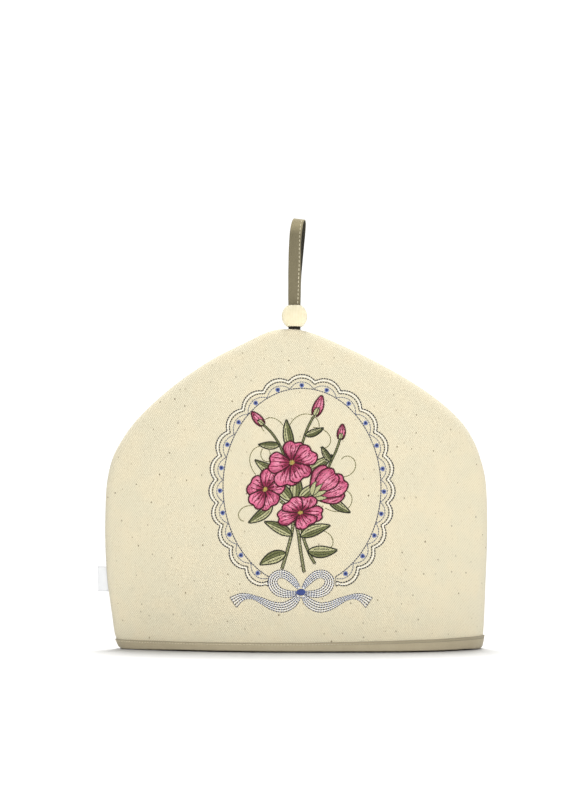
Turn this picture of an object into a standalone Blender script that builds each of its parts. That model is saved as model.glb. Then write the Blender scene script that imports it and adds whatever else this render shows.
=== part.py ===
"""Padded dome tea cosy with a bound hem, a beaded hanging loop and a side label.

Metres, +Z up. The cosy stands on its hem: z = 0 is the underside of the binding,
y = 0 is the plane of the seam that joins the two panels, and the front faces -Y.
x = 0 is half way between the tip of the label and the right side of the cloth.
"""

import math

import bmesh
import bpy
from mathutils import Vector

MM = 0.001

# ---------------------------------------------------------------- sizes, in mm
SEAM_HALF_GAP = 0.15      # each panel stops this far from the seam plane

PANEL_THICKNESS = 6.0     # cotton outside, wadding and the turned-in inside
EDGE_ROLL = 9.0           # how far in from the seam the padded edge rolls over
EDGE_ROLL_POWER = 2.5
SEAM_ALLOWANCE = (8.0, 18.0)  # solid up to the first, gone at the second
CLOTH_DEPTH = 43.5        # how far a panel bows out at the hem, less its thickness
BOW_POWER = 1.6           # how the bow dies away towards the top
LENS_LEFT = 2.1           # how blunt the panel's plan is, by side: the left
LENS_RIGHT = 4.6          # side narrows slowly, the right one turns in late
LENS_TOP = 2.2            # and near the top both are alike
PINCH = 1.3               # how much the binding squeezes the cloth, each side
PINCH_HEIGHTS = (8.5, 17.0)

PANEL_FOOT = 1.3          # height of the panels' cut edge inside the binding
BINDING_WALL = 1.0        # folded bias tape
BINDING_CLEAR = 0.40      # between the tape and the panels
BINDING_INSIDE = 7.9      # height of the inner leg

STRAP_THICKNESS = 1.5     # a strip folded in four and topstitched
STRAP_X = -1.3            # where it leaves the seam, from the cloth's middle
STRAP_ROUND = 0.35        # rounding of its edges
POCKET_CLEAR = 0.3

BEAD_RADIUS = 11.0
BEAD_BORE = 5.75
BEAD_FOOT = 275.3         # height of the bead's lower rim
BEAD_EDGE = 0.35          # rounding of the bore's rims

LABEL_HEIGHT = 21.3
LABEL_LAYER = 0.4
LABEL_SPACE = 0.3         # between its two layers
LABEL_CENTRE_Z = 59.4
LABEL_TIP = -169.7        # from the cloth's middle
LABEL_TAIL = 6.0          # length caught in the seam
LABEL_LEAN = math.radians(-2.0)

# The seam's outline, from the left hem corner over the top to the right one.
# x from the cloth's middle, z above the surface.
OUTLINE = [
    # x       z
    (-150.6, PANEL_FOOT),
    (-152.4, 7.0),
    (-154.6, 13.5),
    (-157.0, 26.0),
    (-161.3, 57.0),
    (-163.4, 90.0),
    (-163.3, 118.0),
    (-161.9, 142.0),
    (-157.4, 162.0),
    (-149.0, 178.5),
    (-136.6, 195.5),
    (-118.8, 213.0),
    (-98.0, 230.0),
    (-72.5, 247.0),
    (-45.5, 260.8),
    (-22.0, 271.2),
    (-5.0, 273.4),
    (12.5, 270.4),
    (37.5, 260.2),
    (65.2, 247.0),
    (96.2, 229.9),
    (121.2, 212.8),
    (140.2, 195.6),
    (151.8, 178.6),
    (158.4, 161.4),
    (162.4, 143.5),
    (163.8, 118.0),
    (163.7, 90.0),
    (162.4, 57.0),
    (161.2, 26.0),
    (160.4, 13.5),
    (159.5, 7.0),
    (158.2, PANEL_FOOT),
]

# How high the binding's outer leg reaches, along the hem from left to right.
BINDING_FRONT = [
    # share of the hem, height
    (0.00, 8.2),
    (0.25, 7.9),
    (0.50, 8.1),
    (0.62, 8.9),
    (0.76, 10.1),
    (0.90, 11.0),
    (1.00, 11.5),
]
BINDING_BACK = [
    # share of the hem, height
    (0.00, 8.2),
    (0.30, 8.6),
    (0.80, 9.2),
    (1.00, 11.5),
]

# The loop, from its end in the seam up one leg to the fold. The other leg
# mirrors it about the loop's own upright axis.
LOOP = [
    # z     half space  shift  twist  lean  width
    (267.6, 0.90, 0.0, 0.0, 0.0, 10.3),
    (277.0, 0.90, 0.0, 0.0, 0.0, 10.3),
    (287.0, 0.90, 0.0, 0.0, 0.0, 10.3),
    (295.5, 0.92, 0.0, 0.0, 0.0, 10.3),
    (302.0, 1.35, 0.0, 1.0, 0.0, 10.7),
    (310.0, 2.20, 0.1, 2.5, 0.0, 10.8),
    (319.0, 3.30, 0.3, 5.0, 0.0, 10.8),
    (328.0, 4.30, 0.7, 8.0, 0.5, 10.8),
    (337.0, 5.05, 1.2, 11.0, 1.5, 10.8),
    (346.0, 5.35, 1.8, 14.0, 3.5, 10.8),
    (354.0, 5.10, 2.5, 16.5, 5.5, 10.8),
    (360.5, 4.25, 3.2, 18.5, 7.5, 10.7),
    (364.8, 2.90, 3.8, 20.0, 9.0, 10.6),
    (366.9, 1.40, 4.2, 21.0, 10.0, 10.5),
    (367.5, 0.00, 4.3, 21.0, 10.0, 10.5),
]

# The panels' mesh: heights of the stations up each side, then the arch.
SIDE_HEIGHTS = (PANEL_FOOT, 4.5, 8.0, 11.5, 15.0, 20.0, 29.0, 43.0, 61.0, 81.0, 102.0, 123.0)
ARCH_STATIONS = 25
ARCH_CENTRE_Z = 123.0
BINDING_LEVELS = SIDE_HEIGHTS[:5]
EDGE_RINGS = (0.0, 0.35, 1.3, 2.9, 5.2, 9.0, 12.0, 15.0, 18.5)
INNER_RINGS = (0.90, 0.80, 0.69, 0.56, 0.41, 0.25, 0.10)


# ------------------------------------------------------------------- geometry
def smooth_curve(points, steps=24):
    """A dense polyline that runs smoothly through the points."""
    pts = [Vector(p) for p in points]
    dense = []
    for i in range(len(pts) - 1):
        p1, p2 = pts[i], pts[i + 1]
        p0 = pts[i - 1] if i else p1 * 2 - p2
        p3 = pts[i + 2] if i + 2 < len(pts) else p2 * 2 - p1
        for k in range(steps):
            t = k / steps
            dense.append(
                0.5 * ((2 * p1) + (p2 - p0) * t + (2 * p0 - 5 * p1 + 4 * p2 - p3) * t * t
                       + (3 * p1 - p0 - 3 * p2 + p3) * t ** 3)
            )
    dense.append(pts[-1])
    return dense


def at_lengths(line, lengths):
    """The points at these lengths along a polyline."""
    out, j, gone = [], 0, 0.0
    for target in lengths:
        while j < len(line) - 2 and gone + (line[j + 1] - line[j]).length < target:
            gone += (line[j + 1] - line[j]).length
            j += 1
        step = max((line[j + 1] - line[j]).length, 1e-12)
        out.append(line[j].lerp(line[j + 1], max(0.0, min(1.0, (target - gone) / step))))
    return out


def length_of(line):
    return sum((b - a).length for a, b in zip(line, line[1:]))


def evenly(line, count):
    total = length_of(line)
    return at_lengths(line, [total * k / (count - 1) for k in range(count)])


def table(rows, at):
    """Linear reading of a table whose first column is the place."""
    if at <= rows[0][0]:
        return rows[0][1]
    for (a, va), (b, vb) in zip(rows, rows[1:]):
        if at <= b:
            return va + (vb - va) * (at - a) / (b - a)
    return rows[-1][1]


def smoothstep(a, b, x):
    t = max(0.0, min(1.0, (x - a) / (b - a)))
    return t * t * (3 - 2 * t)


SEAM = smooth_curve(OUTLINE)
APEX = max(range(len(SEAM)), key=lambda i: SEAM[i].y)
LEFT_SIDE = [(p.y, p.x) for p in SEAM[: APEX + 1]]
RIGHT_SIDE = [(p.y, p.x) for p in reversed(SEAM[APEX:])]
TOP_Z = SEAM[APEX].y
RIGHT_END = max(p.x for p in SEAM)
SHIFT_X = -(LABEL_TIP + RIGHT_END) / 2


def sides(z):
    """x of the seam on the left and on the right at height z."""
    return table(LEFT_SIDE, z), table(RIGHT_SIDE, z)


def bow(x, z):
    """How far the middle of the cloth stands out from the seam plane."""
    left, right = sides(z)
    if right - left < 1e-6:
        return 0.0
    q = max(-1.0, min(1.0, (2 * x - left - right) / (right - left)))
    rise = max(0.0, min(1.0, (z - PANEL_FOOT) / (TOP_Z - PANEL_FOOT)))
    low = LENS_LEFT if q < 0 else LENS_RIGHT
    lens = 1 - abs(q) ** (low + (LENS_TOP - low) * smoothstep(0.1, 0.9, rise))
    return CLOTH_DEPTH * (1 - rise ** BOW_POWER) * lens


def pinched(z):
    """How far the binding presses each side of the panel in at this height."""
    return PINCH * (1 - smoothstep(*PINCH_HEIGHTS, z))


def roll(z, d):
    """The padded edge: from nothing at the seam to the panel's outer side."""
    m = max(0.0, min(1.0, d / EDGE_ROLL))
    return (PANEL_THICKNESS - pinched(z)) * math.sqrt(1 - (1 - m) ** EDGE_ROLL_POWER)


def outside(x, z, d):
    return SEAM_HALF_GAP + bow(x, z) + roll(z, d)


def inside(x, z, d):
    thick = PANEL_THICKNESS - 2 * pinched(z)
    filled = PANEL_THICKNESS * (1 - smoothstep(*SEAM_ALLOWANCE, d))
    return SEAM_HALF_GAP + max(0.0, bow(x, z) + roll(z, d) - thick - filled)


def seam_distance(x, z):
    return math.sqrt(min((p.x - x) ** 2 + (p.y - z) ** 2 for p in SEAM))


# ------------------------------------------------------------------- building
def to_row(x, y, z):
    return Vector(((x + SHIFT_X) * MM, y * MM, z * MM))


def collection(name):
    made = bpy.data.collections.new(name)
    bpy.context.scene.collection.children.link(made)
    return made


def material(name, colour, roughness):
    made = bpy.data.materials.new(name)
    made.use_nodes = True
    shader = made.node_tree.nodes["Principled BSDF"]
    shader.inputs["Base Color"].default_value = (*colour, 1.0)
    shader.inputs["Roughness"].default_value = roughness
    shader.inputs["Metallic"].default_value = 0.0
    return made


def object_from(bm, name, finish, where, tidy=True):
    if tidy:
        bmesh.ops.recalc_face_normals(bm, faces=bm.faces)
    mesh = bpy.data.meshes.new(name)
    bm.to_mesh(mesh)
    bm.free()
    made = bpy.data.objects.new(name, mesh)
    made.data.materials.append(finish)
    where.objects.link(made)
    made.data.shade_smooth()
    made.data.set_sharp_from_angle(angle=math.radians(40))
    return made


def skin(bm, rows, closed=False):
    """Faces between rows of vertices; closed joins the last row to the first."""
    for i in range(len(rows) if closed else len(rows) - 1):
        a, b = rows[i], rows[(i + 1) % len(rows)]
        for k in range(len(a) - 1):
            corners = []
            for v in (a[k], a[k + 1], b[k + 1], b[k]):
                if v not in corners:
                    corners.append(v)
            if len(corners) > 2:
                bm.faces.new(corners)


def panel_rings():
    """The panel seen from the front, as rings of (x, z, distance from the seam).

    The rings follow the seam and close in on an upright line in the middle.
    """
    left = [Vector((sides(z)[0], z)) for z in SIDE_HEIGHTS]
    right = [Vector((sides(z)[1], z)) for z in SIDE_HEIGHTS]
    above = [p for p in SEAM if p.y >= ARCH_CENTRE_Z]
    arch = evenly([left[-1]] + above + [right[-1]], ARCH_STATIONS)
    seam = left[:-1] + arch + list(reversed(right[:-1]))
    middle = (seam[0].x + seam[-1].x) / 2
    heart = [Vector((middle, min(p.y, ARCH_CENTRE_Z))) for p in seam]
    inward = [(h - p).normalized() for p, h in zip(seam, heart)]
    rings = []
    for distance in EDGE_RINGS:
        rings.append([p + n * distance for p, n in zip(seam, inward)])
    for share in INNER_RINGS:
        rings.append([h + (p - h) * share for p, h in zip(rings[len(EDGE_RINGS) - 1], heart)])
    return [[(p.x, p.y, seam_distance(p.x, p.y) if j else 0.0) for p in ring]
            for j, ring in enumerate(rings)], heart


def panel(name, side, finish, where, cutters):
    """One padded panel. side is -1 for the front and +1 for the back."""
    rings, heart = panel_rings()
    bm = bmesh.new()

    def point(place, depth):
        x, z, d = place
        return bm.verts.new(to_row(x, side * depth(x, z, d), z))

    faces = {}
    seam_row = [point(place, outside) for place in rings[0]]
    for key, depth in (("out", outside), ("in", inside)):
        rows = [seam_row] + [[point(place, depth) for place in ring] for ring in rings[1:]]
        shared, last = {}, []
        for h in heart:
            key_z = round(h.y, 4)
            if key_z not in shared:
                shared[key_z] = point((h.x, h.y, seam_distance(h.x, h.y)), depth)
            last.append(shared[key_z])
        rows.append(last)
        skin(bm, rows)
        faces[key] = rows
    ends = {}
    for key, rows in faces.items():
        ends[key] = [r[0] for r in rows] + [r[-1] for r in reversed(rows[:-1])]
    skin(bm, [ends["out"], ends["in"]])
    made = object_from(bm, name, finish, where)
    for cutter in cutters:
        cut = made.modifiers.new(cutter.name, "BOOLEAN")
        cut.operation = "DIFFERENCE"
        cut.object = cutter
    return made


def plan_corners(depth, z):
    """The panel's face in plan at height z, as its rings cross that height."""
    z = max(z, PANEL_FOOT)
    left, right = sides(z)
    middle = (sides(PANEL_FOOT)[0] + sides(PANEL_FOOT)[1]) / 2
    near = [p for p in SEAM if p.y < z + 45.0]
    ends = []
    for seam_x, inward in ((left, 1.0), (right, -1.0)):
        xs = [seam_x + inward * distance for distance in EDGE_RINGS]
        xs += [middle + (xs[-1] - middle) * share for share in INNER_RINGS]
        ends.append(xs)
    corners = []
    for x in ends[0] + [middle] + list(reversed(ends[1])):
        edge = x in (left, right)
        d = 0.0 if edge else math.sqrt(min((p.x - x) ** 2 + (p.y - z) ** 2 for p in near))
        corners.append(Vector((x, SEAM_HALF_GAP if edge else depth(x, z, d))))
    return corners


def beside(line, away):
    """The line moved sideways by away mm."""
    moved = []
    for i, p in enumerate(line):
        run = (line[min(i + 1, len(line) - 1)] - line[max(i - 1, 0)]).normalized()
        moved.append(p + Vector((-run.y, run.x)) * away)
    return moved


def outer_stations(z, away):
    """One point of the tape's outer leg for each ring of the panel."""
    corners = plan_corners(outside, z)
    moved = beside(corners, away)
    for i, across in ((0, -1.0), (len(moved) - 1, 1.0)):
        moved[i] = corners[i] + Vector((across * away, 0.0))
    return [Vector((moved[0].x, 0.0))] + moved + [Vector((moved[-1].x, 0.0))]


def inner_stations(z, away):
    """The same number of points for the inner leg, which follows the hollow."""
    corners = plan_corners(inside, z)
    inner = [i for i, p in enumerate(corners) if p.y > SEAM_HALF_GAP + 0.02]
    line = []
    for a, b in zip(corners[inner[0]:inner[-1]], corners[inner[0] + 1:]):
        line += [a.lerp(b, k / 8) for k in range(8)]
    line.append(corners[inner[-1]])
    line.insert(0, corners[inner[0] - 1])
    line.append(corners[inner[-1] + 1])
    for _ in range(2):
        line.insert(0, line[0] + (line[0] - line[1]).normalized() * 4.0)
        line.reverse()
    moved = beside(line, -away)
    above = [i for i, p in enumerate(moved) if p.y > 0]
    first, last = above[0], above[-1]

    def crossing(a, b):
        return a.lerp(b, a.y / (a.y - b.y))

    cut = ([crossing(moved[first - 1], moved[first])] + moved[first:last + 1]
           + [crossing(moved[last], moved[last + 1])])
    lengths = [0.0]
    for a, b in zip(cut, cut[1:]):
        lengths.append(lengths[-1] + (b - a).length)
    places = {}
    for i in inner:
        near = min(range(len(cut)), key=lambda j: (cut[j] - corners[i]).length)
        if 1.0 < lengths[near] < lengths[-1] - 1.0:
            places[i + 1] = lengths[near]
    count = len(corners) + 2
    low, high = min(places), max(places)
    for k in range(count):
        if k < low:
            places[k] = places[low] * k / low
        elif k > high:
            places[k] = places[high] + (lengths[-1] - places[high]) * (k - high) / (count - 1 - high)
    return at_lengths(cut, [places[k] for k in range(count)])


def binding(name, finish, where):
    """The folded tape round the hem: two legs and the fold that it stands on."""
    half = {}
    for key, stations in (("outer", outer_stations), ("inner", inner_stations)):
        for wall in (0.0, BINDING_WALL):
            half[key, wall] = [stations(z, BINDING_CLEAR + wall) for z in BINDING_LEVELS]
    count = len(half["outer", 0.0][0])

    hem = half["outer", 0.0][0]
    share = [length_of(hem[:k + 1]) / length_of(hem) for k in range(count)]

    def plan(key, wall, k, z):
        """The leg's face, wall mm outside the clearance, at station k."""
        z = max(BINDING_LEVELS[0], min(BINDING_LEVELS[-1] - 1e-6, z))
        for i in range(len(BINDING_LEVELS) - 1):
            a, b = BINDING_LEVELS[i], BINDING_LEVELS[i + 1]
            if z <= b:
                break
        ends = [half[key, w][i][k].lerp(half[key, w][i + 1][k], (z - a) / (b - a))
                for w in (0.0, BINDING_WALL)]
        return ends[0].lerp(ends[1], wall / BINDING_WALL)

    def section(k, tops):
        top = table(tops, share[k])
        inner = BINDING_INSIDE
        return [
            # leg, wall, height
            ("outer", 0.35, 0.0),
            ("outer", 0.82, 0.25),
            ("outer", 1.00, 0.8),
            ("outer", 1.00, top * 0.36),
            ("outer", 1.00, top * 0.68),
            ("outer", 1.00, top - 0.4),
            ("outer", 0.70, top),
            ("outer", 0.15, top - 0.1),
            ("outer", 0.00, top - 0.5),
            ("outer", 0.00, SIDE_HEIGHTS[1]),
            ("outer", 0.00, PANEL_FOOT - 0.3),
            ("inner", 0.00, PANEL_FOOT - 0.3),
            ("inner", 0.00, SIDE_HEIGHTS[1]),
            ("inner", 0.00, inner - 0.4),
            ("inner", 0.30, inner),
            ("inner", 0.80, inner),
            ("inner", 1.00, inner - 0.4),
            ("inner", 1.00, 0.8),
            ("inner", 0.82, 0.25),
            ("inner", 0.35, 0.0),
        ]

    bm = bmesh.new()
    columns = []
    for side, order, tops in ((-1, range(count - 1), BINDING_FRONT),
                              (1, range(count - 1, 0, -1), BINDING_BACK)):
        for k in order:
            column = []
            for key, wall, z in section(k, tops):
                p = plan(key, wall, k, z)
                column.append(bm.verts.new(to_row(p.x, side * p.y, z)))
            columns.append(column + column[:1])
    skin(bm, columns, closed=True)
    return object_from(bm, name, finish, where)


def ribbon(name, rows, thickness, rounding, finish, where):
    """A strip from rows of points across it, thickened and with soft edges."""
    bm = bmesh.new()
    skin(bm, [[bm.verts.new(p) for p in row] for row in rows])
    made = object_from(bm, name, finish, where, tidy=False)
    thick = made.modifiers.new("thickness", "SOLIDIFY")
    thick.thickness = thickness * MM
    thick.offset = 0.0
    thick.use_even_offset = True
    soft = made.modifiers.new("soft edges", "BEVEL")
    soft.width = rounding * MM
    soft.segments = 2
    soft.limit_method = "ANGLE"
    soft.angle_limit = math.radians(50)
    soft.use_clamp_overlap = True
    return made


def loop_rows():
    """The strap's centre surface, up the front leg and down the back one."""
    leg = smooth_curve([(z, half, shift) for z, half, shift, *_ in LOOP], 6)
    extra = smooth_curve([(twist, lean, width) for *_, twist, lean, width in LOOP], 6)
    last = len(leg) - 1
    keep = sorted(set(list(range(0, last - 18, 6)) + list(range(last - 18, last + 1, 3)) + [last - 1]))
    front, back = [], []
    for i in keep:
        z, half, shift = leg[i]
        twist, lean, width = math.radians(extra[i].x), math.radians(extra[i].y), extra[i].z
        across = Vector((math.cos(twist), -math.sin(twist)))
        for side, rows in ((-1, front), (1, back)):
            centre = Vector((STRAP_X + shift, 0.0)) + side * half * Vector(
                (math.sin(twist), math.cos(twist)))
            row = []
            for share in (-0.5, 0.0, 0.5):
                reach = share * width
                at = centre + across * reach * math.cos(lean)
                row.append(to_row(at.x, at.y, z - reach * math.sin(lean)))
            rows.append(row)
    return front + list(reversed(back[:-1]))


def label_rows():
    """The label's centre surface: out along one layer, round the fold and back."""
    seam_x = sides(LABEL_CENTRE_Z)[0]
    space = (LABEL_LAYER + LABEL_SPACE) / 2
    fold = LABEL_TIP + LABEL_LAYER / 2 + space
    inner = seam_x + LABEL_TAIL
    run = [(inner, -space), (seam_x, -space), ((seam_x + fold) / 2, -space), (fold, -space)]
    for angle in (30, 60, 90, 120, 150):
        turn = math.radians(angle)
        run.append((fold - space * math.sin(turn), -space * math.cos(turn)))
    run += [(x, -y) for x, y in reversed(run[:4])]
    rows = []
    for x, y in run:
        row = []
        for share in (0.5, 0.17, -0.17, -0.5):
            up = share * LABEL_HEIGHT
            row.append(to_row(x, y, LABEL_CENTRE_Z + up + (x - seam_x) * math.sin(LABEL_LEAN)))
        rows.append(row)
    return rows


def bead(name, finish, where):
    """A turned ball with flat ends and a straight bore."""
    rim = BEAD_BORE + BEAD_EDGE
    half = math.sqrt(BEAD_RADIUS ** 2 - rim ** 2)
    start = math.atan2(half, rim)
    profile = [(BEAD_RADIUS * math.cos(a), BEAD_RADIUS * math.sin(a))
               for a in (start * (1 - 2 * k / 14) for k in range(15))]
    profile += [(BEAD_BORE + 0.1, -half + 0.1), (BEAD_BORE, -half + 0.45),
                (BEAD_BORE, half - 0.45), (BEAD_BORE + 0.1, half - 0.1)]
    bm = bmesh.new()
    ring = [bm.verts.new((r * MM, 0.0, z * MM)) for r, z in profile]
    for a, b in zip(ring, ring[1:] + ring[:1]):
        bm.edges.new((a, b))
    mesh = bpy.data.meshes.new(name)
    bm.to_mesh(mesh)
    bm.free()
    made = bpy.data.objects.new(name, mesh)
    made.data.materials.append(finish)
    where.objects.link(made)
    made.location = to_row(STRAP_X, 0.0, BEAD_FOOT + half)
    turn = made.modifiers.new("turning", "SCREW")
    turn.axis = "Z"
    turn.angle = math.radians(360)
    turn.steps = turn.render_steps = 40
    turn.use_merge_vertices = True
    turn.merge_threshold = 1e-6
    turn.use_smooth_shade = True
    return made


def pocket(name, centre, size, where):
    """A cutter for the place in the seam that holds a piece's end."""
    bpy.ops.mesh.primitive_cube_add(size=1.0, location=to_row(*centre))
    made = bpy.context.object
    made.name = name
    made.scale = [s * MM for s in size]
    for old in list(made.users_collection):
        old.objects.unlink(made)
    where.objects.link(made)
    made.hide_render = True
    made.display_type = "WIRE"
    return made


def main():
    for old in list(bpy.data.objects):
        bpy.data.objects.remove(old, do_unlink=True)

    cosy = collection("tea_cosy")
    cutters = collection("cutters")

    cloth = material("natural_cotton", (0.80, 0.73, 0.54), 0.95)
    tape = material("taupe_tape", (0.36, 0.31, 0.20), 0.9)
    wood = material("pale_wood", (0.90, 0.84, 0.64), 0.55)
    woven = material("white_woven", (0.90, 0.90, 0.88), 0.85)

    tail = LOOP[0][0]
    depth = 2 * (LOOP[0][1] + STRAP_THICKNESS / 2 + POCKET_CLEAR)
    strap_pocket = pocket(
        "strap_pocket",
        (STRAP_X, 0.0, (tail - POCKET_CLEAR + TOP_Z + 12.0) / 2),
        (LOOP[0][5] + 2 * POCKET_CLEAR, depth, TOP_Z + 12.0 - tail + POCKET_CLEAR),
        cutters,
    )
    seam_x = sides(LABEL_CENTRE_Z)[0]
    slope = abs(math.sin(LABEL_LEAN)) * 2 * LABEL_TAIL
    label_pocket = pocket(
        "label_pocket",
        (seam_x + (LABEL_TAIL + POCKET_CLEAR) / 2 - 6.0, 0.0, LABEL_CENTRE_Z),
        (LABEL_TAIL + POCKET_CLEAR + 12.0,
         2 * LABEL_LAYER + LABEL_SPACE + 2 * POCKET_CLEAR,
         LABEL_HEIGHT + slope + 2 * POCKET_CLEAR),
        cutters,
    )

    panel("front_panel", -1, cloth, cosy, (strap_pocket, label_pocket))
    panel("back_panel", 1, cloth, cosy, (strap_pocket, label_pocket))
    binding("hem_binding", tape, cosy)
    ribbon("hanging_loop", loop_rows(), STRAP_THICKNESS, STRAP_ROUND, tape, cosy)
    bead("bead", wood, cosy)
    ribbon("side_label", label_rows(), LABEL_LAYER, 0.08, woven, cosy)


main()
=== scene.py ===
"""Looks of a padded dome tea cosy: cotton drill with machine embroidery, a taupe
bound hem, a topstitched loop with a wooden bead, and a bare woven side label.

Metres in Blender, millimetres in the tables. x runs along the front from the
middle of the cloth, z is up from the surface, y = 0 is the plane of the seam
and the front faces -Y. The cloth's surface is a function of x, z and d, the
distance from the seam, and the thread is laid on that function.
"""

import math

import bpy
import numpy as np
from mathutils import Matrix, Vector

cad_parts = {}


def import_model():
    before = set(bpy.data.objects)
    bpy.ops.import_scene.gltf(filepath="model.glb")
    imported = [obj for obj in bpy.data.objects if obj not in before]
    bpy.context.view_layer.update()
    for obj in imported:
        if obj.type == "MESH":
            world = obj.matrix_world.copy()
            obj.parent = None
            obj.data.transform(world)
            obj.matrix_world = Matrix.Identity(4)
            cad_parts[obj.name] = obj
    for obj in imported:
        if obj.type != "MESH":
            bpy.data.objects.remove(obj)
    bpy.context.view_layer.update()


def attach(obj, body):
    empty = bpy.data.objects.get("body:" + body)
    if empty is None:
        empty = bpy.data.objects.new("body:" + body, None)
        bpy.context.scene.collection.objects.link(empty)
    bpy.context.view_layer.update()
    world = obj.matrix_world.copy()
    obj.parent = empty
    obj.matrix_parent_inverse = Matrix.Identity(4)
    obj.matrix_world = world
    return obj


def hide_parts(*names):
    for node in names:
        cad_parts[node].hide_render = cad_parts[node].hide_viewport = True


MM = 0.001

# ------------------------------------------------- the part's own sizes, in mm
SEAM_HALF_GAP = 0.15
PANEL_THICKNESS = 6.0
EDGE_ROLL = 9.0
EDGE_ROLL_POWER = 2.5
SEAM_ALLOWANCE = (8.0, 18.0)
CLOTH_DEPTH = 43.5
BOW_POWER = 1.6
LENS_LEFT, LENS_RIGHT, LENS_TOP = 2.1, 4.6, 2.2
PINCH = 0.4
PINCH_HEIGHTS = (8.5, 17.0)
PANEL_FOOT = 1.3
BINDING_WALL = 1.0
BINDING_CLEAR = 0.40
BINDING_INSIDE = 7.9
STRAP_THICKNESS = 1.5
STRAP_X = -1.3
BEAD_RADIUS = 11.0
BEAD_BORE = 5.75
BEAD_FOOT = 275.3
LABEL_HEIGHT = 21.3
LABEL_LAYER = 0.4
LABEL_SPACE = 0.3
LABEL_CENTRE_Z = 59.4
LABEL_TIP = -169.7
LABEL_TAIL = 6.0
LABEL_LEAN = math.radians(-2.0)

OUTLINE = [
    # x       z
    (-150.6, PANEL_FOOT),
    (-153.2, 7.0),
    (-155.4, 13.5),
    (-157.2, 26.0),
    (-161.3, 57.0),
    (-163.4, 90.0),
    (-163.3, 118.0),
    (-161.9, 142.0),
    (-157.4, 162.0),
    (-149.0, 178.5),
    (-136.6, 195.5),
    (-118.8, 213.0),
    (-98.0, 230.0),
    (-72.5, 247.0),
    (-45.5, 260.8),
    (-22.0, 271.6),
    (-5.0, 273.3),
    (12.5, 270.4),
    (37.5, 260.2),
    (65.2, 247.0),
    (96.2, 229.9),
    (121.2, 212.8),
    (140.2, 195.6),
    (151.8, 178.6),
    (158.4, 161.4),
    (162.4, 143.5),
    (163.8, 118.0),
    (163.7, 90.0),
    (162.4, 57.0),
    (161.2, 26.0),
    (160.4, 13.5),
    (159.5, 7.0),
    (158.2, PANEL_FOOT),
]

TAPE_FRONT = [
    # share of the hem, height
    (0.00, 8.2),
    (0.25, 7.9),
    (0.50, 8.1),
    (0.62, 8.9),
    (0.76, 10.1),
    (0.90, 11.0),
    (1.00, 11.5),
]
TAPE_BACK = [
    # share of the hem, height
    (0.00, 8.2),
    (0.30, 8.6),
    (0.80, 9.2),
    (1.00, 11.5),
]

LOOP = [
    # z     half space  shift  twist  lean  width
    (266.6, 0.90, 0.0, 0.0, 0.0, 10.3),
    (275.0, 0.90, 0.0, 0.0, 0.0, 10.3),
    (285.0, 0.90, 0.0, 0.0, 0.0, 10.3),
    (293.0, 0.92, 0.0, 0.0, 0.0, 10.5),
    (301.0, 1.45, 0.0, 1.0, 0.0, 10.8),
    (310.0, 2.20, 0.1, 2.5, 0.0, 10.8),
    (319.0, 3.30, 0.3, 5.0, 0.0, 10.8),
    (328.0, 4.30, 0.7, 8.0, 0.5, 10.8),
    (337.0, 5.05, 1.2, 11.0, 1.5, 10.8),
    (346.0, 5.35, 1.8, 14.0, 3.5, 10.8),
    (354.0, 5.10, 2.5, 16.5, 5.5, 10.8),
    (360.5, 4.25, 3.2, 18.5, 7.5, 10.7),
    (364.8, 2.90, 3.8, 20.0, 9.0, 10.6),
    (366.9, 1.40, 4.2, 21.0, 10.0, 10.5),
    (367.5, 0.00, 4.3, 21.0, 10.0, 10.5),
]

# ------------------------------------------------------------ colours, as sRGB
THREAD = {
    "border": (44, 48, 58),
    "border light": (94, 100, 116),
    "oval": (46, 55, 80),
    "white": (252, 250, 242),
    "blue": (66, 82, 142),
    "blue pale": (126, 138, 180),
    "blue dark": (26, 30, 72),
    "bow": (40, 52, 88),
    "bow white": (242, 244, 248),
    "pink": (214, 94, 134),
    "pink light": (252, 178, 200),
    "pink deep": (146, 34, 72),
    "pink line": (112, 14, 46),
    "magenta": (66, 2, 22),
    "wine": (70, 4, 22),
    "leaf": (196, 194, 148),
    "leaf deep": (114, 118, 72),
    "leaf line": (20, 24, 10),
    "leaf vein": (48, 54, 28),
    "tendril": (100, 98, 46),
    "gold": (190, 168, 84),
    "cream": (222, 213, 186),
}


def linear(rgb):
    """sRGB 0..255 as linear 0..1."""
    c = np.asarray(rgb, float) / 255.0
    return np.where(c <= 0.04045, c / 12.92, ((c + 0.055) / 1.055) ** 2.4)


# =========================================================== the cloth's shape
def smooth_curve(points, steps=24):
    """Catmull-Rom through the points, as an array of places."""
    pts = [np.array(p, float) for p in points]
    dense = []
    for i in range(len(pts) - 1):
        p1, p2 = pts[i], pts[i + 1]
        p0 = pts[i - 1] if i else p1 * 2 - p2
        p3 = pts[i + 2] if i + 2 < len(pts) else p2 * 2 - p1
        for k in range(steps):
            t = k / steps
            dense.append(0.5 * ((2 * p1) + (p2 - p0) * t + (2 * p0 - 5 * p1 + 4 * p2 - p3) * t * t
                                + (3 * p1 - p0 - 3 * p2 + p3) * t ** 3))
    dense.append(pts[-1])
    return np.array(dense)


def lengths_of(line):
    return np.concatenate([[0.0], np.cumsum(np.linalg.norm(np.diff(line, axis=0), axis=1))])


def at_lengths(line, where):
    gone = lengths_of(line)
    return np.stack([np.interp(where, gone, line[:, k]) for k in range(line.shape[1])], axis=-1)


def evenly(line, count):
    return at_lengths(line, np.linspace(0, lengths_of(line)[-1], count))


def smoothstep(a, b, x):
    t = np.clip((np.asarray(x, float) - a) / (b - a), 0.0, 1.0)
    return t * t * (3 - 2 * t)


def table(rows, at):
    rows = np.array(rows, float)
    return np.interp(at, rows[:, 0], rows[:, 1])


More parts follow.
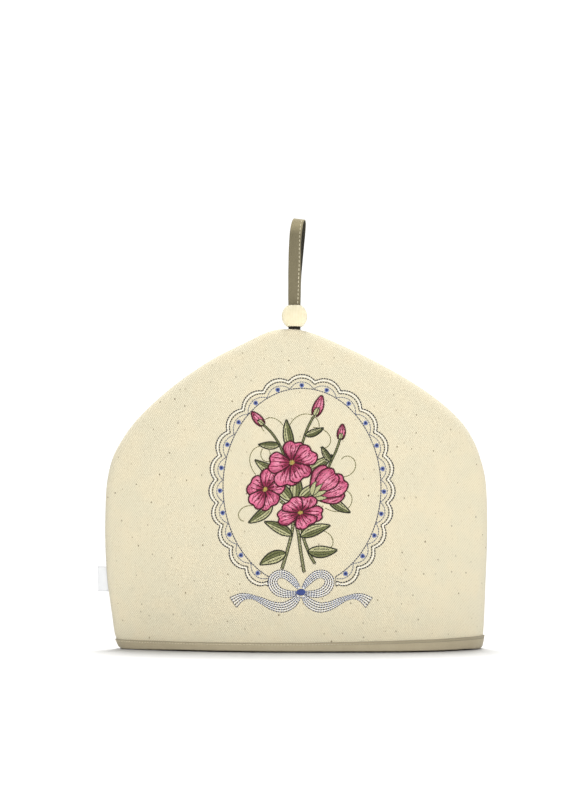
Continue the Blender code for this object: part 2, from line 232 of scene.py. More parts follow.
SEAM = smooth_curve(OUTLINE)
APEX = int(SEAM[:, 1].argmax())
TOP_Z = SEAM[APEX, 1]
RIGHT_END = SEAM[:, 0].max()
SHIFT_X = -(LABEL_TIP + RIGHT_END) / 2
MIDDLE = (SEAM[0, 0] + SEAM[-1, 0]) / 2


def sides(z):
    left, right = SEAM[:APEX + 1], SEAM[APEX:][::-1]
    return np.interp(z, left[:, 1], left[:, 0]), np.interp(z, right[:, 1], right[:, 0])


def seam_distance(x, z):
    """Distance of each place from the seam's polyline."""
    x, z = np.broadcast_arrays(np.asarray(x, float), np.asarray(z, float))
    shape = x.shape
    p = np.stack([x.ravel(), z.ravel()], axis=1)
    a, b = SEAM[:-1], SEAM[1:]
    run = b - a
    size = (run ** 2).sum(1)
    out = np.empty(len(p))
    for start in range(0, len(p), 3000):
        q = p[start:start + 3000, None, :] - a[None]
        t = np.clip((q * run).sum(2) / size, 0, 1)[..., None]
        out[start:start + 3000] = np.sqrt((((q - run * t) ** 2).sum(2)).min(1))
    return out.reshape(shape)


def bow(x, z):
    left, right = sides(z)
    wide = np.maximum(right - left, 1e-6)
    q = np.clip((2 * x - left - right) / wide, -1.0, 1.0)
    rise = np.clip((z - PANEL_FOOT) / (TOP_Z - PANEL_FOOT), 0.0, 1.0)
    low = np.where(q < 0, LENS_LEFT, LENS_RIGHT)
    lens = 1 - np.abs(q) ** (low + (LENS_TOP - low) * smoothstep(0.1, 0.9, rise))
    return np.where(right - left < 1e-6, 0.0, CLOTH_DEPTH * (1 - rise ** BOW_POWER) * lens)


def pinched(z):
    return PINCH * (1 - smoothstep(*PINCH_HEIGHTS, z))


def roll(z, d):
    m = np.clip(d / EDGE_ROLL, 0.0, 1.0)
    return (PANEL_THICKNESS - pinched(z)) * np.sqrt(np.maximum(0.0, 1 - (1 - m) ** EDGE_ROLL_POWER))


def outside(x, z, d):
    return SEAM_HALF_GAP + bow(x, z) + roll(z, d)


def inside(x, z, d):
    thick = PANEL_THICKNESS - 2 * pinched(z)
    filled = PANEL_THICKNESS * (1 - smoothstep(*SEAM_ALLOWANCE, d))
    return SEAM_HALF_GAP + np.maximum(0.0, bow(x, z) + roll(z, d) - thick - filled)


# ---------------------------------------------------- the embroidered border
OVAL_CENTRE = (4.8, 138.2)
OVAL_HALF = (66.2, 83.1)
SCALLOPS_EACH_SIDE = 10
SCALLOP = 19.75           # from one dot to the next along the oval
SCALLOP_SLACK = 4.2       # the upper ones stand a little wider apart
SCALLOP_CURVE = 0.84
LINES = [
    # start  rise  thread          width  height
    (0.0, 5.5, "border light", 0.86, 0.20),
    (4.0, 4.9, "border", 1.16, 0.28),
    (7.1, 4.9, "border", 1.20, 0.30),
]


def oval_table():
    """The oval as arc length from its top against angle, to the right."""
    angle = np.linspace(0, math.pi, 1200)
    line = np.stack([OVAL_HALF[0] * np.sin(angle), OVAL_HALF[1] * np.cos(angle)], axis=1)
    return angle, lengths_of(line)


OVAL_ANGLE, OVAL_LENGTH = oval_table()


def on_oval(s, out=0.0):
    """The place s mm along the oval from its top, out mm outside it."""
    s = np.asarray(s, float)
    angle = np.interp(np.abs(s), OVAL_LENGTH, OVAL_ANGLE) * np.sign(s)
    a, b = OVAL_HALF
    at = np.stack([a * np.sin(angle), b * np.cos(angle)], axis=-1)
    normal = np.stack([b * np.sin(angle), a * np.cos(angle)], axis=-1)
    normal /= np.linalg.norm(normal, axis=-1, keepdims=True)
    return at + normal * np.asarray(out, float)[..., None] + np.array(OVAL_CENTRE)


def dot_place(k):
    """Length along the oval of scallop number k, which may be a fraction."""
    k = np.asarray(k, float)
    size = np.abs(k)
    return np.sign(k) * (SCALLOP * size + SCALLOP_SLACK * np.sin(math.pi * np.minimum(size, 9.0) / 9.0) ** 2)


BORDER_HALF = float(dot_place(SCALLOPS_EACH_SIDE + 0.44))


def scallop(s, start, rise):
    """How far outside the oval a scalloped line runs, s mm along it."""
    numbers = np.linspace(-SCALLOPS_EACH_SIDE - 1, SCALLOPS_EACH_SIDE + 1, 900)
    u = (np.interp(s, dot_place(numbers), numbers) + 0.5) % 1.0 * 2 - 1
    return start + rise * (1 - np.abs(u) ** 2.0) ** SCALLOP_CURVE


# ---------------------------------------------- small unevenness of the cloth
SOFT_WAVES = [
    # length x  length z  turn   phase  height
    (148.0, 190.0, 0.3, 0.4, 0.50),
    (96.0, 131.0, -0.5, 2.1, 0.30),
    (61.0, 88.0, 0.9, 4.0, 0.16),
    (37.0, 44.0, -1.1, 1.2, 0.07),
]


def undulation(x, z, side):
    """Slow rises and hollows of wadded cloth, none near the seam or the tape."""
    total = np.zeros(np.broadcast(x, z).shape)
    for long_x, long_z, turn, phase, height in SOFT_WAVES:
        along = x * math.cos(turn) + z * math.sin(turn)
        across = z * math.cos(turn) - x * math.sin(turn)
        total = total + height * np.sin(2 * math.pi * along / long_x + phase + side * 1.7) * np.cos(
            2 * math.pi * across / long_z + phase * 1.9)
    return total


def gathers(x, z, side):
    """Short soft ripples where the tape is sewn on."""
    ripple = (np.sin(x * 2 * math.pi / 17.0 + 0.6 * side + 1.4 * np.sin(x / 31.0))
              + 0.6 * np.sin(x * 2 * math.pi / 7.3 + 2.0 * np.sin(x / 19.0 + side)))
    return 0.085 * ripple * smoothstep(8.0, 13.0, z) * (1 - smoothstep(15.0, 34.0, z))


def stitched_down(x, z):
    """How far the border's lines of stitching draw the front in."""
    dx, dz = (x - OVAL_CENTRE[0]), (z - OVAL_CENTRE[1])
    ratio = np.sqrt((dx / OVAL_HALF[0]) ** 2 + (dz / OVAL_HALF[1]) ** 2)
    away = (ratio - 1.0) * 2 / (1 / OVAL_HALF[0] + 1 / OVAL_HALF[1])
    groove = np.exp(-((away - 7.5) / 4.2) ** 2)
    return 0.32 * groove


def slack_corner(x, z):
    """A shallow hollow low down on the left, where the cloth hangs a little slack."""
    left, _ = sides(z)
    reach = ((x - left - 30.0) / 58.0) ** 2 + ((z - 42.0) / 40.0) ** 2
    return 2.6 * np.exp(-reach) * smoothstep(9.0, 24.0, z)


def uneven(x, z, d, side):
    calm = smoothstep(17.0, 46.0, z) * smoothstep(6.0, 30.0, d)
    made = undulation(x, z, side) * calm + gathers(x, z, side) * smoothstep(6.0, 16.0, d)
    if side < 0:
        made = made - slack_corner(x, z) * smoothstep(4.0, 30.0, d)
    if side < 0:
        made = made - stitched_down(x, z) * calm
    return made


def parting(x, z):
    """How far the strap and the label hold the two panels apart at the seam."""
    strap = (1 - smoothstep(5.3, 7.4, np.abs(x - STRAP_X))) * smoothstep(264.0, 267.0, z) * 1.72
    left, _ = sides(z)
    up = np.abs(z - LABEL_CENTRE_Z)
    label = (1 - smoothstep(11.0, 13.5, up)) * (1 - smoothstep(6.6, 9.5, x - left)) * 0.62
    return np.maximum(strap, label)


def outer_y(x, z, d, side):
    """Distance of a panel's outer face from the seam plane."""
    return (outside(x, z, d) + uneven(x, z, d, side)
            + parting(x, z) * (1 - smoothstep(0.0, 6.0, d)))


def inner_y(x, z, d, side):
    flat = np.maximum(inside(x, z, d), SEAM_HALF_GAP + parting(x, z))
    return flat + uneven(x, z, d, side) * smoothstep(14.0, 26.0, d)


def front_face(x, z):
    """Places on the front panel well inside its edges, with their normals."""
    def y(a, b):
        return -(outside(a, b, 30.0) + uneven(a, b, 30.0, -1))
    step = 0.4
    here = np.stack([x, y(x, z), z], axis=-1)
    slope_x = (y(x + step, z) - y(x - step, z)) / (2 * step)
    slope_z = (y(x, z + step) - y(x, z - step)) / (2 * step)
    normal = np.stack([slope_x, -np.ones_like(slope_x), slope_z], axis=-1)
    return here, normal / np.linalg.norm(normal, axis=-1, keepdims=True)


# ============================================================ making of meshes
def to_row(points):
    """Cloth millimetres as metres in the row frame."""
    p = np.asarray(points, float).copy()
    p[..., 0] += SHIFT_X
    return p * MM


def mesh_object(name, points, faces, material, uv=None, tone=None, flat_angle=None):
    """An object from arrays. uv is a place for each point, tone a colour."""
    mesh = bpy.data.meshes.new(name)
    mesh.from_pydata(to_row(points).tolist(), [], [list(f) for f in faces])
    mesh.validate()
    mesh.update()
    if uv is not None:
        layer = mesh.uv_layers.new(name="cloth")
        index = np.empty(len(mesh.loops), np.int32)
        mesh.loops.foreach_get("vertex_index", index)
        layer.data.foreach_set("uv", np.asarray(uv, np.float32)[index].ravel())
    if tone is not None:
        layer = mesh.color_attributes.new(name="tone", type="FLOAT_COLOR", domain="POINT")
        rgba = np.ones((len(mesh.vertices), 4), np.float32)
        rgba[:, :3] = tone
        layer.data.foreach_set("color", rgba.ravel())
    mesh.materials.append(material)
    mesh.shade_smooth()
    if flat_angle is not None:
        mesh.set_sharp_from_angle(angle=math.radians(flat_angle))
    made = bpy.data.objects.new(name, mesh)
    bpy.context.scene.collection.objects.link(made)
    return made


def grid_faces(index, closed_rows=False, closed_columns=False, flip=False):
    """Quads between the rows of an index array; repeated corners are dropped."""
    rows, columns = index.shape
    faces = []
    for i in range(rows if closed_rows else rows - 1):
        a, b = index[i], index[(i + 1) % rows]
        for k in range(columns if closed_columns else columns - 1):
            m = (k + 1) % columns
            ring = (a[k], a[m], b[m], b[k])
            corners = []
            for v in ring:
                if int(v) not in corners:
                    corners.append(int(v))
            if len(corners) > 2:
                faces.append(corners[::-1] if flip else corners)
    return faces


def volume(points, faces):
    """Signed volume, positive when the faces look outwards."""
    p = np.asarray(points, float)
    total = 0.0
    for f in faces:
        a = p[f[0]]
        for i in range(1, len(f) - 1):
            total += np.dot(a, np.cross(p[f[i]], p[f[i + 1]]))
    return total / 6.0


def outward(points, faces):
    return faces if volume(points, faces) > 0 else [f[::-1] for f in faces]


# ----------------------------------------------------------------- the panels
EDGE_STEPS = (0.0, 0.12, 0.3, 0.55, 0.9, 1.35, 1.9, 2.6, 3.5, 4.6, 5.9, 7.4, 9.2, 11.5, 14.3, 17.6)
INNER_STEPS = 34
ARCH_START = 123.0


def panel_plan():
    """Rows of places from the left of the seam, over the middle, to the right.

    The lower rows are level and the upper ones bend to meet the arch squarely;
    the last one runs straight down from the top of the seam.
    """
    low = np.concatenate([[PANEL_FOOT, 2.3, 3.4], np.linspace(4.6, ARCH_START, 50)])
    left_low = np.stack([sides(low)[0], low], axis=1)
    right_low = np.stack([sides(low)[1], low], axis=1)
    left_arch = np.vstack([left_low[-1], SEAM[:APEX + 1][SEAM[:APEX + 1, 1] > ARCH_START]])
    right_arch = np.vstack([right_low[-1], SEAM[APEX:][::-1][SEAM[APEX:][::-1, 1] > ARCH_START]])
    count = 104
    share = np.linspace(0, 1, count)
    share = share + 0.06 * np.sin(share * math.pi)      # a little closer at the top
    left_up = at_lengths(left_arch, lengths_of(left_arch)[-1] * share)
    right_up = at_lengths(right_arch, lengths_of(right_arch)[-1] * share)
    left = np.vstack([left_low, left_up[1:]])
    right = np.vstack([right_low, right_up[1:]])
    heart_up = ARCH_START + (232.0 - ARCH_START) * share ** 1.15
    heart = np.concatenate([low, heart_up[1:]])
    heart = np.stack([np.full(len(heart), MIDDLE), heart], axis=1)

    def half(edge):
        run = heart - edge
        size = np.linalg.norm(run, axis=1, keepdims=True)
        run = run / size
        tangent = np.gradient(edge, axis=0)
        tangent /= np.linalg.norm(tangent, axis=1, keepdims=True)
        square = np.abs(run[:, 0] * tangent[:, 1] - run[:, 1] * tangent[:, 0])
        square = np.clip(square, 0.5, 1.0)
        columns = [edge + run * (step / square)[:, None] for step in EDGE_STEPS]
        last = columns[-1]
        for k in range(1, INNER_STEPS):
            columns.append(last + (heart - last) * k / INNER_STEPS)
        return columns

    columns = half(left) + [heart] + half(right)[::-1]
    return np.stack(columns, axis=1)              # rows, columns, (x, z)


def make_panel(name, side, material):
    plan = panel_plan()
    rows, columns = plan.shape[:2]
    x, z = plan[..., 0], plan[..., 1]
    d = seam_distance(x, z)
    d[:, 0] = d[:, -1] = 0.0
    out = np.stack([x, side * outer_y(x, z, d, side), z], axis=-1)
    inn = np.stack([x, side * inner_y(x, z, d, side), z], axis=-1)
    out[:, (0, -1), 1] = side * (SEAM_HALF_GAP + parting(x[:, (0, -1)], z[:, (0, -1)]))

    # Lengths along the surface from the middle outwards, for the weave.
    mid = columns // 2
    along = np.zeros((rows, columns, 2))
    rise = np.linalg.norm(np.diff(out[:, mid], axis=0), axis=1)
    along[:, mid, 0] = MIDDLE
    along[:, mid, 1] = z[0, mid] + np.concatenate([[0.0], np.cumsum(rise)])
    for k, step in [(k, 1) for k in range(mid + 1, columns)] + [(k, -1) for k in range(mid - 1, -1, -1)]:
        was = k - step
        plane = plan[:, k] - plan[:, was]
        flat = np.maximum(np.linalg.norm(plane, axis=1), 1e-6)
        full = np.sqrt(flat ** 2 + (out[:, k, 1] - out[:, was, 1]) ** 2)
        along[:, k] = along[:, was] + plane * (full / flat)[:, None]

    index_out = np.arange(rows * columns).reshape(rows, columns)
    index_out[-1] = [index_out[-1, min(k, columns - 1 - k)] for k in range(columns)]
    index_in = np.arange(rows * columns).reshape(rows, columns) + rows * columns
    index_in[-1] = [index_in[-1, min(k, columns - 1 - k)] for k in range(columns)]
    index_in[:, 0] = index_out[:, 0]
    index_in[:, -1] = index_out[:, -1]
    faces = grid_faces(index_out) + grid_faces(index_in, flip=True)
    faces += grid_faces(np.stack([index_in[0], index_out[0]]))
    points = np.vstack([out.reshape(-1, 3), inn.reshape(-1, 3)])
    uv = np.vstack([along.reshape(-1, 2), along.reshape(-1, 2)]) / 100.0
    used = np.unique(np.concatenate([np.array(f) for f in faces]))
    renumber = np.full(len(points), -1)
    renumber[used] = np.arange(len(used))
    faces = [[int(renumber[v]) for v in f] for f in faces]
    points, uv = points[used], uv[used]
    faces = outward(points, faces)
    return mesh_object(name, points, faces, material, uv=uv)


# ------------------------------------------------------------------- the tape
TAPE_STATIONS = 260


def plan_line(face, z, side):
    """A panel's face in plan at height z, from the left seam to the right."""
    left, right = sides(z)
    edge = np.array([0.0, 0.1, 0.3, 0.6, 1.0, 1.6, 2.4, 3.4, 4.6, 6.0, 7.8, 10.0, 13.0, 16.5, 20.5])
    xs = np.concatenate([left + edge, np.linspace(left + 25, right - 25, 150), (right - edge)[::-1]])
    near = SEAM[SEAM[:, 1] < z + 60.0]
    d = np.sqrt(((xs[:, None] - near[None, :, 0]) ** 2 + (z - near[None, :, 1]) ** 2).min(1))
    d[0] = d[-1] = 0.0
    depth = face(xs, np.full_like(xs, z), d)
    return np.stack([xs, depth], axis=1)


def moved_out(line, away):
    """The plan line away mm outside the cloth, closed to the seam plane."""
    run = np.gradient(line, axis=0)
    run /= np.linalg.norm(run, axis=1, keepdims=True)
    normal = np.stack([-run[:, 1], run[:, 0]], axis=1)
    normal[0], normal[-1] = (-1.0, 0.0), (1.0, 0.0)
    normal[1] = normal[1] * 0.5 + np.array((-0.5, 0.0))
    normal[-2] = normal[-2] * 0.5 + np.array((0.5, 0.0))
    normal /= np.linalg.norm(normal, axis=1, keepdims=True)
    moved = line + normal * away
    return np.vstack([[moved[0, 0], 0.0], moved, [moved[-1, 0], 0.0]])


def moved_in(line, away):
    """The hollow's plan line away mm inside it, cut off at the seam plane."""
    inner = np.nonzero(line[:, 1] > SEAM_HALF_GAP + 0.02)[0]
    part = line[inner[0] - 1:inner[-1] + 2]
    part = evenly(part, 400)
    run = np.gradient(part, axis=0)
    run /= np.linalg.norm(run, axis=1, keepdims=True)
    part = part - np.stack([-run[:, 1], run[:, 0]], axis=1) * away
    above = np.nonzero(part[:, 1] > 0.02)[0]
    part = part[above[0]:above[-1] + 1]
    return np.vstack([[part[0, 0] - 0.2, 0.0], part, [part[-1, 0] + 0.2, 0.0]])


def make_tape(name, material):
    levels = np.array([PANEL_FOOT, 2.5, 4.5, 6.5, 8.0, 10.0, 11.6])
    half = {}
    for key, face in (("outer", outside), ("inner", inside)):
        for wall in (0.0, BINDING_WALL):
            lines = []
            for z in levels:
                line = plan_line(face, z, 1)
                line = (moved_out(line, BINDING_CLEAR + wall) if key == "outer"
                        else moved_in(line, BINDING_CLEAR + wall))
                lines.append(line)
            half[key, wall] = lines

    def stations(line, ends):
        total = lengths_of(line)[-1]
        t = np.linspace(0, 1, TAPE_STATIONS)
        return at_lengths(line, total * t)

    walls = {key: np.array([stations(line, 0) for line in lines]) for key, lines in half.items()}
    share = np.linspace(0, 1, TAPE_STATIONS)

    def place(key, wall, z):
        z = float(np.clip(z, levels[0], levels[-1]))
        i = int(np.clip(np.searchsorted(levels, z) - 1, 0, len(levels) - 2))
        t = (z - levels[i]) / (levels[i + 1] - levels[i])
        zero = walls[key, 0.0][i] * (1 - t) + walls[key, 0.0][i + 1] * t
        one = walls[key, BINDING_WALL][i] * (1 - t) + walls[key, BINDING_WALL][i + 1] * t
        return zero + (one - zero) * wall / BINDING_WALL

    off_floor = (0.95, 0.95, 0.90, 0.80, 0.62, 0.36)   # the lowest rows, where the hem lifts
    lifted = smoothstep(0.03, 0.24, share) * (1 - smoothstep(0.90, 0.99, share))
    turned_up = 2.3 * (smoothstep(0.981, 1.0, share) + 1 - smoothstep(0.0, 0.019, share))
    section = [
        # leg, wall, share of the leg's height, added height
        ("outer", -3.20, 0.0, 0.00),
        ("outer", -1.20, 0.0, 0.10),
        ("outer", 0.10, 0.0, 0.24),
        ("outer", 0.62, 0.0, 0.52),
        ("outer", 0.94, 0.0, 1.00),
        ("outer", 1.04, 0.0, 1.80),
        ("outer", 1.03, 0.30, 0.5),
        ("outer", 1.01, 0.50, 0.0),
        ("outer", 1.00, 1.0, -2.8),
        ("outer", 0.99, 1.0, -2.3),
        ("outer", 0.93, 1.0, -1.85),
        ("outer", 0.88, 1.0, -1.55),
        ("outer", 0.93, 1.0, -1.25),
        ("outer", 1.00, 1.0, -0.92),
        ("outer", 1.02, 1.0, -0.55),
        ("outer", 0.97, 1.0, -0.25),
        ("outer", 0.82, 1.0, -0.08),
        ("outer", 0.55, 1.0, 0.00),
        ("outer", 0.20, 1.0, -0.10),
        ("outer", 0.02, 1.0, -0.45),
        ("outer", 0.00, 0.50, 0.0),
        ("outer", 0.00, 0.0, 2.2),
        ("outer", 0.00, 0.0, PANEL_FOOT - 0.3),
        ("inner", 0.00, 0.0, PANEL_FOOT - 0.3),
        ("inner", 0.00, 0.0, 2.2),
        ("inner", 0.00, 0.50, 0.0),
        ("inner", 0.02, 1.0, -0.4),
        ("inner", 0.30, 1.0, 0.0),
        ("inner", 0.80, 1.0, 0.0),
        ("inner", 1.00, 1.0, -0.4),
        ("inner", 1.00, 0.50, 0.0),
        ("inner", 1.00, 0.0, 1.0),
        ("inner", 0.82, 0.0, 0.35),
        ("inner", 0.35, 0.0, 0.04),
    ]
    rings = {}
    for side, tops in ((-1, TAPE_FRONT), (1, TAPE_BACK)):
        top_out = table(tops, share)
        wobble = 0.10 * np.sin(share * 61 + side) + 0.07 * np.sin(share * 143 + 2 * side)
        ring = np.zeros((len(section), TAPE_STATIONS, 4))
        for s, (key, wall, part, add) in enumerate(section):
            tops_here = top_out if key == "outer" else np.full(TAPE_STATIONS, BINDING_INSIDE)
            heights = tops_here * part + add
            if s < len(off_floor):
                heights = heights + off_floor[s] * lifted + turned_up * (1.0 - 0.13 * s)
            elif key == "inner" and part == 0.0 and add < 1.5:
                heights = heights + turned_up * 0.45
            if key == "outer" and part == 1.0 and wall > 0.5:
                heights = heights + wobble * np.sin(share * math.pi) ** 0.5 * 0.6
            low, high = heights.min(), heights.max()
            grid = np.linspace(low, high + 1e-6, 6)
            near = np.array([place(key, wall, h) for h in grid])
            t = (heights - low) / max(high - low, 1e-6) * (len(grid) - 1) if high - low > 1e-4 else heights * 0
            i = np.clip(np.floor(t).astype(int), 0, len(grid) - 2)
            f = (t - i)[:, None]
            k = np.arange(TAPE_STATIONS)
            flat = near[i, k] * (1 - f) + near[i + 1, k] * f
            ring[s, :, 0] = flat[:, 0]
            ring[s, :, 1] = side * np.abs(flat[:, 1])
            ring[s, :, 2] = heights
        rings[side] = ring
    joined = np.concatenate([rings[-1][:, :-1], rings[1][:, ::-1][:, :-1]], axis=1)
    columns = joined.shape[1]
    count = len(section)
    points = joined[..., :3].reshape(-1, 3)
    index = np.arange(count * columns).reshape(count, columns)
    faces = grid_faces(index, closed_rows=True, closed_columns=True)
    around = np.concatenate([[0.0], np.cumsum(np.linalg.norm(np.diff(joined[5, :, :3], axis=0), axis=1))])
    over = np.zeros(count)
    for s in range(1, count):
        over[s] = over[s - 1] + np.linalg.norm(joined[s, 40, 1:3] - joined[s - 1, 40, 1:3])
    uv = np.stack(np.broadcast_arrays(around[None, :], over[:, None]), axis=-1).reshape(-1, 2) / 100.0
    # Painted shade on the tape: darker along the stitched dent, more so to the right, and darker over the rows
    # towards its top edge.
    painted_shade_to_right = smoothstep(-10.0, 100.0, joined[11, :, 0])
    tone = np.ones((count, columns))
    for s, edge, sewn in ((9, 1.0, 0.62), (10, 1.0, 0.80), (11, 1.0, 0.84), (12, 1.0, 0.84), (13, 0.96, 0.86),
                          (14, 0.84, 0.92), (15, 0.78, 0.96), (16, 0.72, 1.0)):
        tone[s] = edge * (1.0 - (1.0 - sewn) * painted_shade_to_right)
    tone = np.repeat(tone.reshape(-1, 1), 3, axis=1)
    made = mesh_object(name, points, outward(points, faces), material, uv=uv, tone=tone)
    return made, joined


# -------------------------------------------------------- the loop and others
def loop_path(steps=10):
    """Rows of (centre, across, width) up the front leg and down the back one."""
    rows = smooth_curve(LOOP, steps)
    legs = {}
    for side in (-1, 1):
        out = []
        for z, half, shift, twist, lean, width in rows:
            half = max(half, 0.0)
            twist, lean = math.radians(twist), math.radians(lean)
            across = np.array([math.cos(twist), -math.sin(twist)])
            out_of = np.array([math.sin(twist), math.cos(twist)])
            centre = np.array([STRAP_X + shift, 0.0]) + side * half * out_of
            out.append((
                np.array([centre[0], centre[1], z]),
                np.array([across[0] * math.cos(lean), across[1] * math.cos(lean), -math.sin(lean)]),
                width,
            ))
        legs[side] = out
    joined = legs[-1] + legs[1][::-1][1:]
    centres = np.array([c for c, _, _ in joined])
    across = np.array([a for _, a, _ in joined])
    widths = np.array([w for _, _, w in joined])
    gone = lengths_of(centres)
    where = np.linspace(0, gone[-1], 230)
    line = np.stack([np.interp(where, gone, centres[:, k]) for k in range(3)], axis=1)
    side_on = np.stack([np.interp(where, gone, across[:, k]) for k in range(3)], axis=1)
    for _ in range(3):                          # softens the turn at the top
        line[1:-1] = line[1:-1] * 0.5 + (line[:-2] + line[2:]) * 0.25
    side_on /= np.linalg.norm(side_on, axis=1, keepdims=True)
    return line, side_on, np.interp(where, gone, widths), where


def stitch_inset(z):
    """How far in from the strap's edge its topstitching runs, at each height."""
    return np.interp(z, [270.0, 296.0, 306.0, 318.0, 330.0, 350.0, 362.0], [2.5, 2.5, 2.2, 1.75, 1.35, 1.35, 1.8])


def strap_section(width, pucker, inset):
    """Half outline of a strip folded in four: places across and thickness."""
    half = width / 2
    thick = STRAP_THICKNESS / 2
    rows = [
        # across, out
        (-half, 0.0),
        (-half + 0.06, 0.34),
        (-half + 0.22, 0.56),
        (-half + 0.5, 0.70),
        (-half + 1.2, thick),
        (-half + 1.9, thick * 0.97),
        (-half + 2.35, thick * 0.86 - pucker),
        (-half + 2.8, thick * 0.97),
        (-half * 0.3, thick),
        (half * 0.3, thick),
        (half - inset - 0.45, thick * 0.97),
        (half - inset, thick * 0.86 - pucker),
        (half - inset + 0.45, thick * 0.97),
        (half - inset * 0.51, thick),
        (half - 0.5, 0.71),
        (half - 0.18, 0.60),
        (half - 0.02, 0.36),
        (half - 0.20, 0.10),
    ]
    return rows


def strap_tone(z, out):
    """Painted highlight on the turn at the top, painted shade on the faces that look at each other, and painted
    shadow on the strap in and under the bead.
    """
    # painted highlight: the strap is made paler over the turn at the top
    painted_top_light = 1.0 + 0.90 * smoothstep(353.0, 363.0, z)
    # painted shade: the faces that look at each other are darkened, from 312 mm up
    inward = smoothstep(0.35, -0.35, out) if z > 312.0 else 0.0
    shade = 1.0 - 0.88 * float(inward) * float(smoothstep(312.0, 330.0, z))
    # painted shadow: the strap is darkened low down, in and under the bead
    return 0.53 * painted_top_light * shade * (0.14 + 0.86 * float(smoothstep(276.0, 282.0, z)))


def make_strap(name, material):
    line, side_on, widths, where = loop_path()
    run = np.gradient(line, axis=0)
    run /= np.linalg.norm(run, axis=1, keepdims=True)
    side_on = side_on - run * (side_on * run).sum(1, keepdims=True)
    side_on /= np.linalg.norm(side_on, axis=1, keepdims=True)
    out_of = np.cross(side_on, run)
    rng = np.random.default_rng(11)
    sway = np.interp(where, np.linspace(0, where[-1], 24), rng.normal(0, 0.10, 24))
    points, uv, tones = [], [], []
    for i in range(len(line)):
        pucker = 0.05 * max(0.0, math.sin(where[i] * 2 * math.pi / 3.45))
        free = 1.0 if 34.0 < where[i] < where[-1] - 34.0 else 0.0
        half_rows = strap_section(widths[i] + sway[i] * free, pucker, float(stitch_inset(line[i, 2])))
        ring = [(a, o) for a, o in half_rows] + [(a, -o) for a, o in half_rows[::-1][:-1]]
        gone = 0.0
        last = ring[0]
        for a, o in ring:
            gone += math.hypot(a - last[0], o - last[1])
            last = (a, o)
            points.append(line[i] + side_on[i] * a + out_of[i] * o)
            uv.append((gone / 100.0, where[i] / 100.0))
            tones.append(strap_tone(line[i, 2], o))
    points = np.array(points)
    tones = np.clip(np.array(tones), 0, 1)[:, None] * np.ones(3)
    count = len(points) // len(line)
    index = np.arange(len(points)).reshape(len(line), count)
    faces = grid_faces(index, closed_columns=True)
    faces += [index[0][::-1].tolist(), index[-1].tolist()]
    made = mesh_object(name, points, outward(points, faces), material, uv=uv, tone=tones)
    return made, (line, side_on, out_of, widths, where)


def make_bead(name, material):
    rim = BEAD_BORE + 0.45
    half = math.sqrt(BEAD_RADIUS ** 2 - rim ** 2)
    start = math.atan2(half, rim)
    angles = np.linspace(start, -start, 41)
    profile = [(BEAD_RADIUS * math.cos(a), BEAD_RADIUS * math.sin(a)) for a in angles]
    bore = BEAD_BORE
    turn = np.linspace(0, math.pi / 2, 6)[1:]
    low = [(bore + 0.45 * math.cos(t), -half + 0.45 - 0.45 * math.cos(t) + 0.0) for t in turn]
    low = [(bore + 0.45 - 0.45 * math.sin(t), -half + 0.45 - 0.45 * math.cos(t)) for t in turn]
    high = [(r, -h) for r, h in low[::-1]]
    wall = [(bore, h) for h in np.linspace(-half + 0.9, half - 0.9, 9)]
    profile += low + wall + high
    around = 96
    centre = np.array([STRAP_X, 0.0, BEAD_FOOT + half])
    points = []
    for r, h in profile:
        for k in range(around):
            t = 2 * math.pi * k / around
            points.append(centre + np.array([r * math.cos(t), r * math.sin(t), h]))
    points = np.array(points)
    index = np.arange(len(points)).reshape(len(profile), around)
    faces = grid_faces(index, closed_rows=True, closed_columns=True)
    return mesh_object(name, points, outward(points, faces), material)


def make_label(name, material):
    """A woven ribbon folded at its outer end, both tails caught in the seam."""
    seam_x = float(sides(LABEL_CENTRE_Z)[0])
    space = (LABEL_LAYER + LABEL_SPACE) / 2
    fold = LABEL_TIP + LABEL_LAYER / 2 + space
    inner = seam_x + LABEL_TAIL
    xs = np.linspace(inner, fold, 26)
    run = [(x, -space) for x in xs]
    for angle in np.linspace(0, 180, 13)[1:-1]:
        turn = math.radians(angle)
        run.append((fold - space * math.sin(turn), -space * math.cos(turn)))
    run += [(x, space) for x in xs[::-1]]
    line = np.array(run)
    gone = lengths_of(line)
    ups = np.linspace(0.5, -0.5, 31)
    normal = np.gradient(line, axis=0)
    normal /= np.linalg.norm(normal, axis=1, keepdims=True)
    normal = np.stack([normal[:, 1], -normal[:, 0]], axis=1)
    sheets = []
    for wall in (-LABEL_LAYER / 2, LABEL_LAYER / 2):
        rows = []
        for i, (x, y) in enumerate(run):
            free = float(smoothstep(seam_x + 1.0, seam_x - 5.0, x)) if x < seam_x + 1 else 0.0
            row = []
            for up in ups:
                thin = 1.0 - 0.45 * abs(up * 2) ** 14
                edge = 0.10 * math.sin(x * 2.6) * abs(up * 2) ** 20
                bend = -0.30 * free * math.sin((up + 0.5) * math.pi * 1.1) * 0.0
                row.append((
                    x + normal[i, 0] * wall * thin,
                    y + normal[i, 1] * wall * thin + bend,
                    LABEL_CENTRE_Z + up * LABEL_HEIGHT + edge + (x - seam_x) * math.sin(LABEL_LEAN),
                ))
            rows.append(row)
        sheets.append(np.array(rows))
    rows, columns = sheets[0].shape[:2]
    points = np.vstack([s.reshape(-1, 3) for s in sheets])
    a = np.arange(rows * columns).reshape(rows, columns)
    b = a + rows * columns
    faces = grid_faces(a) + grid_faces(b, flip=True)
    for edge_a, edge_b in ((a[0], b[0]), (a[:, -1], b[:, -1]), (a[-1][::-1], b[-1][::-1]), (a[::-1, 0], b[::-1, 0])):
        faces += grid_faces(np.stack([edge_b, edge_a]))
    flat = np.stack(np.broadcast_arrays(gone[:, None], (ups * LABEL_HEIGHT)[None, :]), axis=-1).reshape(-1, 2)
    uv = np.vstack([flat, flat]) / 100.0
    return mesh_object(name, points, outward(points, faces), material, uv=uv)


